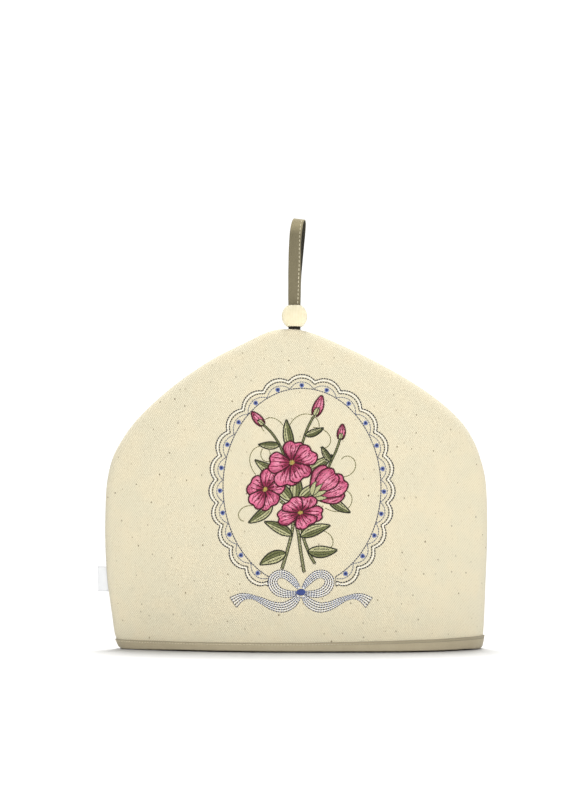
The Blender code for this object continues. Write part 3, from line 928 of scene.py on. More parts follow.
# ================================================================= embroidery
class Stitches:
    """Thread laid on a surface, one closed low-sided piece for each stitch."""

    STATIONS = np.array([0.0, 0.16, 0.5, 0.84, 1.0])
    NARROW = np.array([0.42, 0.92, 1.0, 0.92, 0.42])
    PROUD = np.array([0.05, 0.80, 1.0, 0.80, 0.05])
    RING = np.array([(-0.50, 0.0), (-0.36, 0.72), (0.0, 1.0), (0.36, 0.72), (0.50, 0.0)])

    def __init__(self, seed):
        self.rng = np.random.default_rng(seed)
        self.rows = []

    def add(self, a, b, width, height, lift, colour, vary=0.05):
        """Stitches from each a to each b."""
        a, b = np.atleast_2d(a), np.atleast_2d(b)
        keep = np.linalg.norm(b - a, axis=1) > 0.12
        a, b = a[keep], b[keep]
        if not len(a):
            return
        colour = np.broadcast_to(np.asarray(colour, float), (len(keep), 3))[keep]
        tone = colour * (1 + self.rng.normal(0, vary, (len(a), 1)))
        sizes = np.broadcast_to(np.array([width, height, lift], float), (len(a), 3))
        self.rows.append(np.hstack([a, b, sizes, np.clip(tone, 0, 1)]))

    def run(self, line, thread, length=1.8, gap=0.25, width=0.45, height=0.25, lift=0.0,
            vary=0.05, wander=0.03, start=0.0):
        """A line of running stitches along a polyline."""
        line = np.asarray(line, float)
        total = lengths_of(line)[-1]
        count = max(1, int(round((total - start) / length)))
        cuts = start + (total - start) * np.arange(count + 1) / count
        cuts[1:-1] += self.rng.normal(0, length * 0.04, max(0, count - 1))
        a = at_lengths(line, cuts[:-1] + gap / 2)
        b = at_lengths(line, cuts[1:] - gap / 2)
        a += self.rng.normal(0, wander, a.shape)
        b += self.rng.normal(0, wander, b.shape)
        self.add(a, b, width, height, lift, linear(THREAD[thread]), vary)

    def all(self):
        return np.vstack(self.rows)

    def drop_inside(self, polygons):
        """Leaves out what lies under the shapes that were sewn later."""
        rows = self.all()
        for polygon in polygons:
            middle = (rows[:, 0:2] + rows[:, 2:4]) / 2
            rows = rows[~inside_polygon(middle, polygon)]
        self.rows = [rows] if len(rows) else []

    def build(self, name, material, surface=front_face):
        rows = self.all()
        n = len(rows)
        a, b = rows[:, 0:2], rows[:, 2:4]
        width, height, lift, tone = rows[:, 4], rows[:, 5], rows[:, 6], rows[:, 7:10]
        at = a[:, None] + (b - a)[:, None] * self.STATIONS[None, :, None]
        here, normal = surface(at[..., 0], at[..., 1])
        run = here[:, -1] - here[:, 0]
        run = run / np.linalg.norm(run, axis=1, keepdims=True)
        beside = np.cross(normal, run[:, None, :])
        beside /= np.linalg.norm(beside, axis=-1, keepdims=True)
        across = self.RING[None, None, :, 0] * width[:, None, None] * self.NARROW[None, :, None]
        up = (lift[:, None, None] - 0.04
              + self.RING[None, None, :, 1] * (height[:, None, None] + 0.04) * self.PROUD[None, :, None])
        points = (here[:, :, None] + beside[:, :, None] * across[..., None]
                  + normal[:, :, None] * up[..., None])
        stations, sides_ = len(self.STATIONS), len(self.RING)
        index = np.arange(stations * sides_).reshape(stations, sides_)
        one = grid_faces(index, closed_columns=True)
        one += [index[0][::-1].tolist(), index[-1].tolist()]
        if volume(points[0].reshape(-1, 3), one) < 0:
            one = [f[::-1] for f in one]
        size = stations * sides_
        faces = [[v + k * size for v in f] for k in range(n) for f in one]
        # painted shade: each stitch is darker along its sides and at its ends, where it meets the cloth
        dark = np.array([0.62, 0.94, 1.0, 0.94, 0.62])
        colours = tone[:, None, None, :] * dark[None, None, :, None] * np.array(
            [0.78, 1.0, 1.04, 1.0, 0.78])[None, :, None, None]
        long = np.linalg.norm(b - a, axis=1)
        u = long[:, None, None] * self.STATIONS[None, :, None] + np.zeros((1, 1, sides_))
        v = np.zeros_like(u) + np.linspace(0, 1, sides_)[None, None, :] * width[:, None, None]
        uv = np.stack([u, v], axis=-1).reshape(-1, 2) / 100.0
        return mesh_object(name, points.reshape(-1, 3), faces, material, uv=uv,
                           tone=np.clip(colours.reshape(-1, 3), 0, 1))


def inside_polygon(points, polygon):
    x, z = points[:, 0], points[:, 1]
    inside_ = np.zeros(len(points), bool)
    p = np.asarray(polygon)
    q = np.roll(p, -1, axis=0)
    for (ax, az), (bx, bz) in zip(p, q):
        if az == bz:
            continue
        cross = (az > z) != (bz > z)
        at = ax + (z - az) * (bx - ax) / (bz - az)
        inside_ ^= cross & (x < at)
    return inside_


def offset_line(line, away):
    """The polyline moved sideways; away can be a number for each place."""
    line = np.asarray(line, float)
    run = np.gradient(line, axis=0)
    run /= np.maximum(np.linalg.norm(run, axis=1, keepdims=True), 1e-9)
    return line + np.stack([-run[:, 1], run[:, 0]], axis=1) * np.broadcast_to(away, len(line))[:, None]


def swirl(start, heading, length, bend, bend_end=None, steps=None):
    """A curve that leaves start at heading degrees and turns by bend degrees
    per 10 mm, changing evenly to bend_end."""
    bend_end = bend if bend_end is None else bend_end
    steps = steps or max(12, int(length / 0.6))
    t = (np.arange(steps) + 0.5) / steps
    step = length / steps
    turn = np.radians(heading) + np.cumsum(np.radians(bend + (bend_end - bend) * t) * step / 10.0)
    moves = np.stack([np.cos(turn), np.sin(turn)], axis=1) * step
    return np.vstack([[start], np.array(start, float) + np.cumsum(moves, axis=0)])


# -------------------------------------------------------------------- border
def sew_border():
    work = Stitches(3)
    oval = on_oval(np.linspace(-BORDER_HALF, BORDER_HALF, 1800))
    work.run(oval, "oval", length=2.2, gap=0.16, width=0.96, height=0.24, vary=0.14)
    for start, rise, thread, width, height in LINES:
        past = BORDER_HALF + 0.46 * start
        s = np.linspace(-past, past, 2400)
        out = np.where(np.abs(s) > BORDER_HALF, start, scallop(s, start, rise))
        work.run(on_oval(s, out), thread, length=2.2, gap=0.18, width=width, height=height, vary=0.18)
    for start in (5.40, 5.95):
        past = BORDER_HALF + 0.46 * start
        s = np.linspace(-past, past, 2400)
        out = np.where(np.abs(s) > BORDER_HALF, start, scallop(s, start, 4.9))
        work.run(on_oval(s, out), "white", length=2.3, gap=0.12, width=0.46, height=0.15, vary=0.02)
    for k in range(-SCALLOPS_EACH_SIDE, SCALLOPS_EACH_SIDE + 1):
        sew_dot(work, on_oval(dot_place(k) + (0.4 if k else 0.001), 2.6), k)
    for end in (-1, 1):
        out = np.linspace(-0.2, 6.9, 12)
        work.run(on_oval(end * (BORDER_HALF + 0.46 * out), out), "oval", length=1.8, gap=0.2,
                 width=0.70, height=0.28)
    return work


def sew_dot(work, centre, k):
    """A small wheel of satin stitches with a dark heart."""
    for count, near, far, width, height, lift, thread in (
        (17, 0.90, 2.15, 0.62, 0.26, 0.00, "blue pale"),
        (11, 0.20, 1.50, 0.76, 0.30, 0.06, "blue"),
        (6, 0.02, 0.86, 0.60, 0.30, 0.22, "blue dark"),
    ):
        turn = np.arange(count) * 2 * math.pi / count + k * 0.7
        ray = np.stack([np.cos(turn), np.sin(turn)], axis=1)
        outer = far * (1 + 0.07 * np.sin(turn * 3 + k))
        work.add(centre + ray * near, centre + ray * outer[:, None], width, height, lift,
                 linear(THREAD[thread]), 0.09)


# ----------------------------------------------------------------------- bow
BOW_CENTRE = (3.9, 49.9)
BOW_LOOP = [
    # x     z     width, from the knot over the top and back under
    (1.6, 3.2, 2.6),
    (6.6, 9.6, 5.4),
    (13.2, 14.6, 6.2),
    (20.2, 14.4, 6.6),
    (23.9, 8.4, 7.4),
    (19.9, 1.4, 7.4),
    (11.6, -1.4, 5.8),
    (3.6, -0.8, 3.2),
]
BOW_TAIL = [
    # x     z     width, from the knot to the cut end
    (1.8, -2.6, 3.6),
    (6.6, -8.6, 7.0),
    (14.4, -12.4, 7.8),
    (23.2, -11.4, 6.8),
    (31.8, -7.4, 5.0),
    (38.0, -4.8, 3.4),
    (44.2, -3.4, 4.0),
    (50.6, -4.6, 6.6),
    (56.6, -8.6, 10.0),
]


def ribbon_lines(rows, mirror, count):
    """count lines side by side along a ribbon of changing width."""
    path = smooth_curve([(x * mirror + BOW_CENTRE[0], z + BOW_CENTRE[1], w) for x, z, w in rows], 16)
    line, widths = path[:, :2], path[:, 2]
    shares = np.linspace(-0.5, 0.5, count)
    return [offset_line(line, widths * share) for share in shares], line, widths


def sew_bow():
    work = Stitches(5)
    for mirror in (-1, 1):
        for rows, count in ((BOW_TAIL, 5), (BOW_LOOP, 5)):
            whites, _, _ = ribbon_lines(rows, mirror, 2 * count - 1)
            for line in whites[1::2]:
                work.run(line, "bow white", length=2.4, gap=0.12, width=0.72, height=0.15, vary=0.03)
            lines, centre, widths = ribbon_lines(rows, mirror, count)
            for k, line in enumerate(lines):
                edge = k in (0, count - 1)
                before = len(work.rows)
                work.run(line, "bow", length=2.1, gap=0.32, width=0.90 if edge else 0.96,
                         height=0.30 if edge else 0.26, start=0.0 if edge else 0.7 * (k % 3), vary=0.30)
                for sewn in work.rows[before:]:
                    at = (sewn[:, 0:2] + sewn[:, 2:4]) / 2
                    near = np.linalg.norm(at[:, None] - centre[None], axis=2).argmin(axis=1)
                    room = widths[near] / (count - 1)
                    sewn[:, 4] = np.minimum(sewn[:, 4], 0.22 + 0.72 * room)
        lines, _, _ = ribbon_lines(BOW_TAIL, mirror, 5)
        ends = np.array([line[-1] for line in lines])
        work.run(ends, "border", length=1.7, gap=0.15, width=0.56, height=0.3)
    knot = Stitches(6)
    for layer, (reach, tall, lift) in enumerate(((3.7, 2.6, 0.10), (3.3, 2.9, 0.30))):
        xs = np.arange(-reach, reach + 0.01, 0.40)
        rise = tall * np.sqrt(np.clip(1 - (xs / (reach + 0.25)) ** 2, 0.05, 1)) ** 0.8
        low = np.stack([xs + BOW_CENTRE[0] - 0.15, BOW_CENTRE[1] - rise], axis=1)
        top = np.stack([xs + BOW_CENTRE[0] + 0.15, BOW_CENTRE[1] + rise], axis=1)
        knot.add(low, top, 0.52, 0.40, lift, linear(THREAD["blue"]), 0.12)
    work.rows += knot.rows
    return work


# ----------------------------------------------------------- a spray of roses
def petal_shape(length, width):
    """Half width of a round petal against distance from its foot, and its tip."""
    def half(s):
        low = (np.clip(s, 0, 0.60) / 0.60) ** 0.75
        high = np.sqrt(np.clip(1 - (np.clip(s - 0.60, 0, 1) / 0.40) ** 2, 0, 1))
        return width / 2 * np.where(s < 0.60, 0.16 + 0.84 * low, high)
    return half


def leaf_shape(length, width):
    def half(s):
        s = np.clip(s, 0, 1)
        return width / 2 * np.sin(math.pi * s ** 0.82) ** 0.85 * (1 - 0.12 * s)
    return half


def bud_shape(length, width):
    def half(s):
        s = np.clip(s, 0, 1)
        return width / 2 * (np.sin(math.pi * np.clip(s * 0.93 + 0.07, 0, 1) ** 0.85)) ** 0.7
    return half


class Spray:
    """Filled and outlined shapes, sewn one over the other."""

    def __init__(self):
        self.parts = []                        # (work, covering polygon or None)

    def shape(self, axis, half, fill, line, seed, lift, lean=0.0, squash=None, fill_tones=None,
              veins=(), vein_thread=None, vein_width=0.42, stitch=3.0, notch=0.0, two_tone=None, outline_width=1.56):
        """A closed shape about an axis polyline: fill, veins, then its outline."""
        work = Stitches(seed)
        total = lengths_of(axis)[-1]
        s = np.linspace(0, 1, 90)
        centre = at_lengths(axis, s * total)
        run = np.gradient(centre, axis=0)
        run /= np.linalg.norm(run, axis=1, keepdims=True)
        beside = np.stack([-run[:, 1], run[:, 0]], axis=1)

        def place(share, off):
            """Places at shares of the axis and mm beside it, notched at the tip."""
            share = np.asarray(share, float)
            off = np.asarray(off, float)
            back = notch * np.exp(-(off / (0.16 * 2 * half(0.6) + 1e-6)) ** 2) * np.clip(share - 0.6, 0, 1) / 0.4
            at = share - back
            c = np.stack([np.interp(at, s, centre[:, k]) for k in (0, 1)], axis=-1)
            b = np.stack([np.interp(at, s, beside[:, k]) for k in (0, 1)], axis=-1)
            where = c + b * off[..., None]
            return where if squash is None else squash(where)

        edge_s = np.linspace(0, 1, 60)
        left = place(edge_s, half(edge_s))
        right = place(edge_s, -half(edge_s))
        polygon = np.vstack([left, right[::-1]])

        widest = float(half(np.linspace(0, 1, 200)).max())
        lanes = np.arange(-widest + 0.1, widest, 0.40)
        fine = np.linspace(0, 1, 240)
        for j, lane in enumerate(lanes):
            inside_ = fine[half(fine) > abs(lane) * (1 + lean) + 0.10]
            if len(inside_) < 3:
                continue
            first, last = inside_[0], inside_[-1]
            span = (last - first) * total
            if span < 0.6:
                continue
            count = max(1, int(round(span / stitch)))
            cuts = np.concatenate([[0.0], (np.arange(1, count) + 0.5 * (j % 2) - 0.25
                                           + work.rng.normal(0, 0.10, count - 1)) / count, [1.0]])
            cuts = np.sort(np.clip(cuts, 0, 1))
            shares = first + (last - first) * cuts
            offs = np.full(len(shares), lane)
            at = place(shares, offs)
            middle = (shares[:-1] + shares[1:]) / 2
            tones = fill_tones(middle, lane / widest, work.rng) if fill_tones else linear(THREAD[fill])
            if two_tone is not None and lane < 0:
                tones = np.broadcast_to(linear(THREAD[two_tone]), (len(middle), 3))
            work.add(at[:-1], at[1:], 0.50, 0.26, lift, tones, 0.07)
        for share_off, reach_from, reach_to in veins:
            vs = np.linspace(reach_from, reach_to, 30)
            line_at = place(vs, half(vs) * share_off)
            work.run(line_at, vein_thread or line, length=1.5, gap=0.1, width=vein_width, height=0.14,
                     lift=lift + 0.24)
        work.run(np.vstack([left, right[::-1][1:]]), line, length=1.35, gap=0.02,
                 width=outline_width, height=0.26, lift=lift + 0.18, vary=0.06)
        self.parts.append((work, polygon))
        return polygon

    def band(self, axis, width, fill, line, seed, lift):
        """A stem: lanes along it and a line down each edge."""
        work = Stitches(seed)
        axis = np.asarray(axis)
        taper = np.broadcast_to(width, len(axis))
        for share in np.arange(-0.36, 0.37, 0.24):
            work.run(offset_line(axis, taper * share), fill, length=2.6, gap=0.05, width=0.52,
                     height=0.26, lift=lift, start=1.3 * (abs(share) > 0.2))
        for share in (-0.54, 0.54):
            work.run(offset_line(axis, taper * share), line, length=1.9, gap=0.05, width=0.78,
                     height=0.30, lift=lift + 0.16)
        for end in (axis[:1], axis[-1:]):
            at = np.linspace(-0.5, 0.5, 5)[:, None] * float(taper[0])
            run_on = axis[1] - axis[0] if end is axis[:1] else axis[-1] - axis[-2]
            beside = np.array([-run_on[1], run_on[0]]) / np.linalg.norm(run_on)
            work.run(end + at * beside, line, length=1.6, gap=0.02, width=0.60, height=0.30, lift=lift + 0.16)
        polygon = np.vstack([offset_line(axis, taper * 0.62), offset_line(axis, -taper * 0.62)[::-1]])
        self.parts.append((work, polygon))

    def thread(self, line, thread, seed, **how):
        work = Stitches(seed)
        work.run(line, thread, **how)
        self.parts.append((work, None))

    def finish(self):
        """Everything that shows, as one set of stitches in the order sewn."""
        for i, (work, _) in enumerate(self.parts):
            later = [polygon for _, polygon in self.parts[i + 1:] if polygon is not None]
            work.drop_inside(later)
        kept = [work for work, _ in self.parts if work.rows]
        return kept


def petal_tones(s, lane, rng):
    """Deep pink at a petal's foot, lighter across its middle, pink at the rim."""
    deep, mid, pale = (linear(THREAD[k]) for k in ("pink deep", "pink", "pink light"))
    s = np.asarray(s)[:, None]
    light = np.exp(-((s - 0.60) / 0.24) ** 2) * (1 - 0.65 * abs(lane + 0.15))
    light = light * (0.35 + 0.65 * rng.random((len(s), 1)))
    foot = 1 - smoothstep(0.10, 0.50, s)
    foot = np.maximum(foot, 0.62 * smoothstep(0.38, 0.95, lane))
    tone = mid * (1 - light) + pale * light
    tone = tone * (1 - foot) + deep * foot
    spots = rng.random((len(s), 1)) < 0.17
    return np.where(spots, deep * 0.8, tone)


def rose(spray, centre, radius, turn, seed, lift, flatten=1.0, flatten_at=0.0):
    """An open five-petalled blossom, tilted by flattening it across one line."""
    centre = np.array(centre, float)
    ca, sa = math.cos(math.radians(flatten_at)), math.sin(math.radians(flatten_at))

    def squash(where):
        rel = where - centre
        along = rel[..., 0] * ca + rel[..., 1] * sa
        across = (-rel[..., 0] * sa + rel[..., 1] * ca) * flatten
        return centre + np.stack([along * ca - across * sa, along * sa + across * ca], axis=-1)

    rng = np.random.default_rng(seed)
    order = [0, 2, 4, 1, 3]
    for n, k in enumerate(order):
        angle = turn + 72 * k + rng.normal(0, 6)
        length = radius * (0.88 + 0.18 * rng.random())
        width = radius * (0.92 + 0.20 * rng.random())
        foot = centre + np.array([math.cos(math.radians(angle)), math.sin(math.radians(angle))]) * radius * 0.08
        axis = swirl(foot, angle, length, rng.normal(0, 9))
        spray.shape(axis, petal_shape(length, width), "pink", "magenta", seed * 10 + n,
                    lift + 0.05 * n, squash=squash, fill_tones=petal_tones, notch=0.14,
                    veins=((-0.50, 0.20, 0.72), (-0.12, 0.16, 0.86), (0.34, 0.20, 0.78)),
                    vein_thread="pink line", vein_width=0.84)
    heart = Stitches(seed * 10 + 7)
    count = 13
    turns = np.arange(count) * 2 * math.pi / count + 0.2
    ray = np.stack([np.cos(turns), np.sin(turns)], axis=1)
    reach = radius * (0.34 + 0.18 * rng.random(count))
    tips = squash(centre + ray * reach[:, None])
    feet = squash(centre + ray * radius * 0.10)
    heart.add(feet, tips, 0.60, 0.20, lift + 0.42, linear(THREAD["wine"]), 0.1)
    knot = np.array([[0.52, 0.44]])
    heart.add(tips - knot, tips + knot, 1.20, 0.36, lift + 0.46, linear(THREAD["wine"]), 0.1)
    ring = np.linspace(0, 2 * math.pi, 10)[:-1]
    ray = np.stack([np.cos(ring), np.sin(ring)], axis=1)
    heart.add(centre + ray * 0.1, squash(centre + ray * radius * 0.13), 0.66, 0.34, lift + 0.50,
              linear(THREAD["gold"]), 0.12)
    spray.parts.append((heart, None))


def half_rose(spray, foot, heading, length, seed, lift):
    """A blossom from the side: a fan of petals above its green cup."""
    rng = np.random.default_rng(seed)
    foot = np.array(foot, float)
    for n, (spread, reach, wide) in enumerate(((-47, 0.90, 0.56), (46, 0.92, 0.58), (-17, 1.04, 0.66),
                                               (19, 1.0, 0.62))):
        angle = heading + spread
        long = length * reach * (0.96 + 0.08 * rng.random())
        axis = swirl(foot, angle, long, -spread * 0.35)
        spray.shape(axis, petal_shape(long, length * wide), "pink", "magenta", seed * 10 + n,
                    lift + 0.05 * n, fill_tones=petal_tones, notch=0.10,
                    veins=((-0.42, 0.24, 0.80), (0.10, 0.18, 0.88)), vein_thread="pink line",
                    vein_width=0.84)
    for n, spread in enumerate((-62, -22, 22, 60)):
        axis = swirl(foot - np.array([math.cos(math.radians(heading)), math.sin(math.radians(heading))]) * 1.6,
                     heading + spread, length * 0.46, -spread * 0.5)
        spray.shape(axis, leaf_shape(length * 0.46, length * 0.15), "leaf", "leaf line",
                    seed * 10 + 5 + n, lift + 0.24, stitch=2.0, outline_width=0.80)


def leaf(spray, start, heading, length, width, bend, seed, lift):
    axis = swirl(start, heading, length, bend)
    spray.shape(axis, leaf_shape(length, width), "leaf", "leaf line", seed, lift,
                two_tone="leaf deep", stitch=2.6, outline_width=1.30,
                veins=((0.0, 0.0, 0.94), (0.5, 0.20, 0.72), (-0.5, 0.20, 0.72)),
                vein_thread="leaf vein", vein_width=0.74)


def bud(spray, start, heading, length, width, bend, seed, lift):
    axis = swirl(start, heading, length, bend)
    spray.shape(axis, bud_shape(length, width), "pink", "magenta", seed, lift,
                fill_tones=petal_tones, stitch=2.6, veins=((-0.25, 0.05, 0.95), (0.40, 0.1, 0.8)),
                vein_thread="pink line", vein_width=0.84)
    for k, spread in enumerate((-24, 26)):
        cup = swirl(start, heading + spread, length * 0.44, -spread * 2.2)
        spray.shape(cup, leaf_shape(length * 0.44, width * 0.36), "leaf", "leaf line",
                    seed + 1 + k, lift + 0.2, stitch=2.0, outline_width=0.70)


STEMS = [
    # from its cut end upwards: pairs x, z                                     width
    ((-12.0, 69.0), (-7.0, 86.0), (-3.0, 104.0), (-2.5, 128.0), (-3.0, 152.0), 2.1),
    ((6.5, 66.5), (3.6, 84.0), (1.0, 102.0), (-5.0, 118.0), (-19.0, 131.0), 2.1),
    ((15.5, 73.5), (10.0, 84.0), (5.0, 101.0), (9.0, 118.0), (19.5, 131.0), 1.9),
    ((1.0, 160.0), (6.0, 177.0), (10.0, 188.0), (15.0, 197.5), (15.6, 198.6), 1.5),
    ((-9.0, 160.0), (-14.0, 173.0), (-20.5, 183.0), (-27.0, 189.5), (-27.8, 190.2), 1.4),
    ((22.0, 140.0), (28.0, 156.0), (33.5, 168.0), (36.6, 177.0), (36.9, 178.0), 1.4),
]
LEAVES = [
    # start x  z    heading  length  width  bend
    (-8.5, 82.0, 192.0, 24.0, 10.5, 9.0),
    (9.6, 84.0, 352.0, 25.0, 10.0, 8.0),
    (-3.5, 97.0, 146.0, 26.0, 9.0, 6.0),
    (3.5, 96.0, 30.0, 27.0, 9.5, -7.0),
    (-10.0, 146.0, 160.0, 29.0, 9.5, -7.0),
    (8.0, 150.0, 24.0, 27.0, 9.0, 7.0),
    (-20.0, 122.0, 226.0, 25.0, 9.0, -8.0),
    (-4.0, 168.0, 106.0, 27.0, 8.5, -5.0),
    (7.5, 181.0, 12.0, 17.0, 6.0, 12.0),
    (-14.0, 173.0, 188.0, 18.0, 6.5, -10.0),
    (27.0, 128.0, 318.0, 22.0, 8.0, 8.0),
    (29.0, 159.0, 128.0, 15.0, 5.6, -10.0),
    (-1.0, 124.0, 84.0, 26.0, 11.0, 3.0),
    (2.0, 126.0, 44.0, 22.0, 10.0, -3.0),
    (-4.0, 126.0, 128.0, 22.0, 10.0, 3.0),
]
BLOSSOMS = [
    # x      z     radius  turn  flatten  at
    (-26.0, 135.5, 19.0, 14.0, 0.80, 58.0),
    (3.5, 116.0, 18.5, 62.0, 0.74, 8.0),
    (-3.5, 158.0, 20.5, 96.0, 0.90, 24.0),
]
HALF_BLOSSOMS = [
    # foot x  z    heading  length
    (14.5, 131.0, 34.0, 29.0),
]
BUDS = [
    # start x  z    heading  length  width  bend
    (15.2, 197.6, 62.0, 19.0, 8.4, 8.0),
    (-27.4, 189.8, 136.0, 15.5, 7.2, -6.0),
    (36.8, 177.6, 76.0, 13.5, 6.6, 6.0),
]
TENDRILS = [
    # start x  z    heading  length  bend  bend at end
    (-8.0, 176.0, 92.0, 60.0, -12.0, -74.0),
    (-9.0, 186.0, 116.0, 34.0, 12.0, 110.0),
    (-34.0, 148.0, 128.0, 46.0, -14.0, -96.0),
    (-22.0, 176.0, 214.0, 26.0, 6.0, 128.0),
    (33.0, 146.0, 350.0, 40.0, 20.0, 104.0),
    (24.0, 120.0, 330.0, 44.0, 16.0, 92.0),
    (-36.0, 122.0, 178.0, 24.0, 14.0, 132.0),
    (14.0, 188.0, 356.0, 34.0, -10.0, -112.0),
    (14.0, 104.0, 338.0, 30.0, 20.0, -112.0),
]


def sew_spray():
    spray = Spray()
    for k, (x, z, heading, length, bend, bend_end) in enumerate(TENDRILS):
        spray.thread(swirl((x, z), heading, length, bend, bend_end), "tendril", 400 + k,
                     length=2.1, gap=0.04, width=0.86, height=0.22)
    for k, (*places, width) in enumerate(STEMS):
        spray.band(evenly(smooth_curve(places), 80), width, "leaf deep", "leaf line", 300 + k, 0.02)
    for k, row in enumerate(LEAVES):
        leaf(spray, row[:2], *row[2:], 200 + k, 0.06)
    for k, row in enumerate(BUDS):
        bud(spray, row[:2], *row[2:], 150 + 5 * k, 0.08)
    for k, (x, z, heading, length) in enumerate(HALF_BLOSSOMS):
        half_rose(spray, (x, z), heading, length, 40 + k, 0.10)
    for k, (x, z, radius, turn, flatten, at) in enumerate(BLOSSOMS):
        rose(spray, (x, z), radius, turn, 20 + k, 0.12 + 0.10 * k, flatten, at)
    return spray.finish()


# ================================================================== materials
class Nodes:
    """Short names for building a material's node tree."""

    def __init__(self, name):
        self.material = bpy.data.materials.new(name)
        self.material.use_nodes = True
        self.tree = self.material.node_tree
        self.shader = self.tree.nodes["Principled BSDF"]

    def node(self, kind, **settings):
        made = self.tree.nodes.new(kind)
        for key, value in settings.items():
            setattr(made, key, value)
        return made

    def put(self, socket, value):
        if isinstance(value, bpy.types.NodeSocket):
            self.tree.links.new(value, socket)
        elif value is not None:
            socket.default_value = value

    def math(self, operation, a, b=None, c=None, clamp=False):
        made = self.node("ShaderNodeMath", operation=operation, use_clamp=clamp)
        for socket, value in zip(made.inputs, (a, b, c)):
            self.put(socket, value)
        return made.outputs[0]

    def add(self, a, b):
        return self.math("ADD", a, b)

    def times(self, a, b):
        return self.math("MULTIPLY", a, b)

    def range(self, value, low, high, to_low=0.0, to_high=1.0, smooth=False):
        made = self.node("ShaderNodeMapRange", interpolation_type="SMOOTHSTEP" if smooth else "LINEAR")
        for socket, item in zip(made.inputs, (value, low, high, to_low, to_high)):
            self.put(socket, item)
        return made.outputs[0]

    def noise(self, place, scale, detail=2.0, rough=0.5, distortion=0.0):
        made = self.node("ShaderNodeTexNoise")
        self.put(made.inputs["Vector"], place)
        made.inputs["Scale"].default_value = scale
        made.inputs["Detail"].default_value = detail
        made.inputs["Roughness"].default_value = rough
        made.inputs["Distortion"].default_value = distortion
        return made.outputs["Fac"]

    def cells(self, place, scale, feature="F1", randomness=1.0):
        made = self.node("ShaderNodeTexVoronoi", feature=feature, voronoi_dimensions="2D")
        self.put(made.inputs["Vector"], place)
        made.inputs["Scale"].default_value = scale
        made.inputs["Randomness"].default_value = randomness
        return made

    def mapped(self, place, scale=(1, 1, 1), turn=0.0, shift=(0, 0, 0)):
        made = self.node("ShaderNodeMapping")
        self.put(made.inputs["Vector"], place)
        made.inputs["Location"].default_value = shift
        made.inputs["Rotation"].default_value = (0, 0, turn)
        made.inputs["Scale"].default_value = scale
        return made.outputs[0]

    def parts(self, vector):
        made = self.node("ShaderNodeSeparateXYZ")
        self.put(made.inputs[0], vector)
        return made.outputs

    def mix(self, share, a, b, blend="MIX"):
        made = self.node("ShaderNodeMix", data_type="RGBA", blend_type=blend)
        self.put(made.inputs[0], share)
        for socket, value in ((made.inputs[6], a), (made.inputs[7], b)):
            if isinstance(value, (tuple, list, np.ndarray)) and len(value) == 3:
                value = (*[float(v) for v in value], 1.0)
            self.put(socket, value)
        return made.outputs[2]

    def uv(self):
        return self.node("ShaderNodeUVMap", uv_map="cloth").outputs[0]

    def object_place(self):
        return self.node("ShaderNodeTexCoord").outputs["Object"]

    def tone(self):
        return self.node("ShaderNodeVertexColor", layer_name="tone").outputs[0]

    def bump(self, height, strength, distance, under=None):
        made = self.node("ShaderNodeBump")
        self.put(made.inputs["Height"], height)
        made.inputs["Strength"].default_value = strength
        made.inputs["Distance"].default_value = distance
        if under is not None:
            self.put(made.inputs["Normal"], under)
        return made.outputs[0]

    def finish(self, colour, rough, normal=None, **fixed):
        self.put(self.shader.inputs["Base Color"], colour)
        self.put(self.shader.inputs["Roughness"], rough)
        if normal is not None:
            self.put(self.shader.inputs["Normal"], normal)
        for key, value in fixed.items():
            self.shader.inputs[key.replace("_", " ")].default_value = value
        return self.material


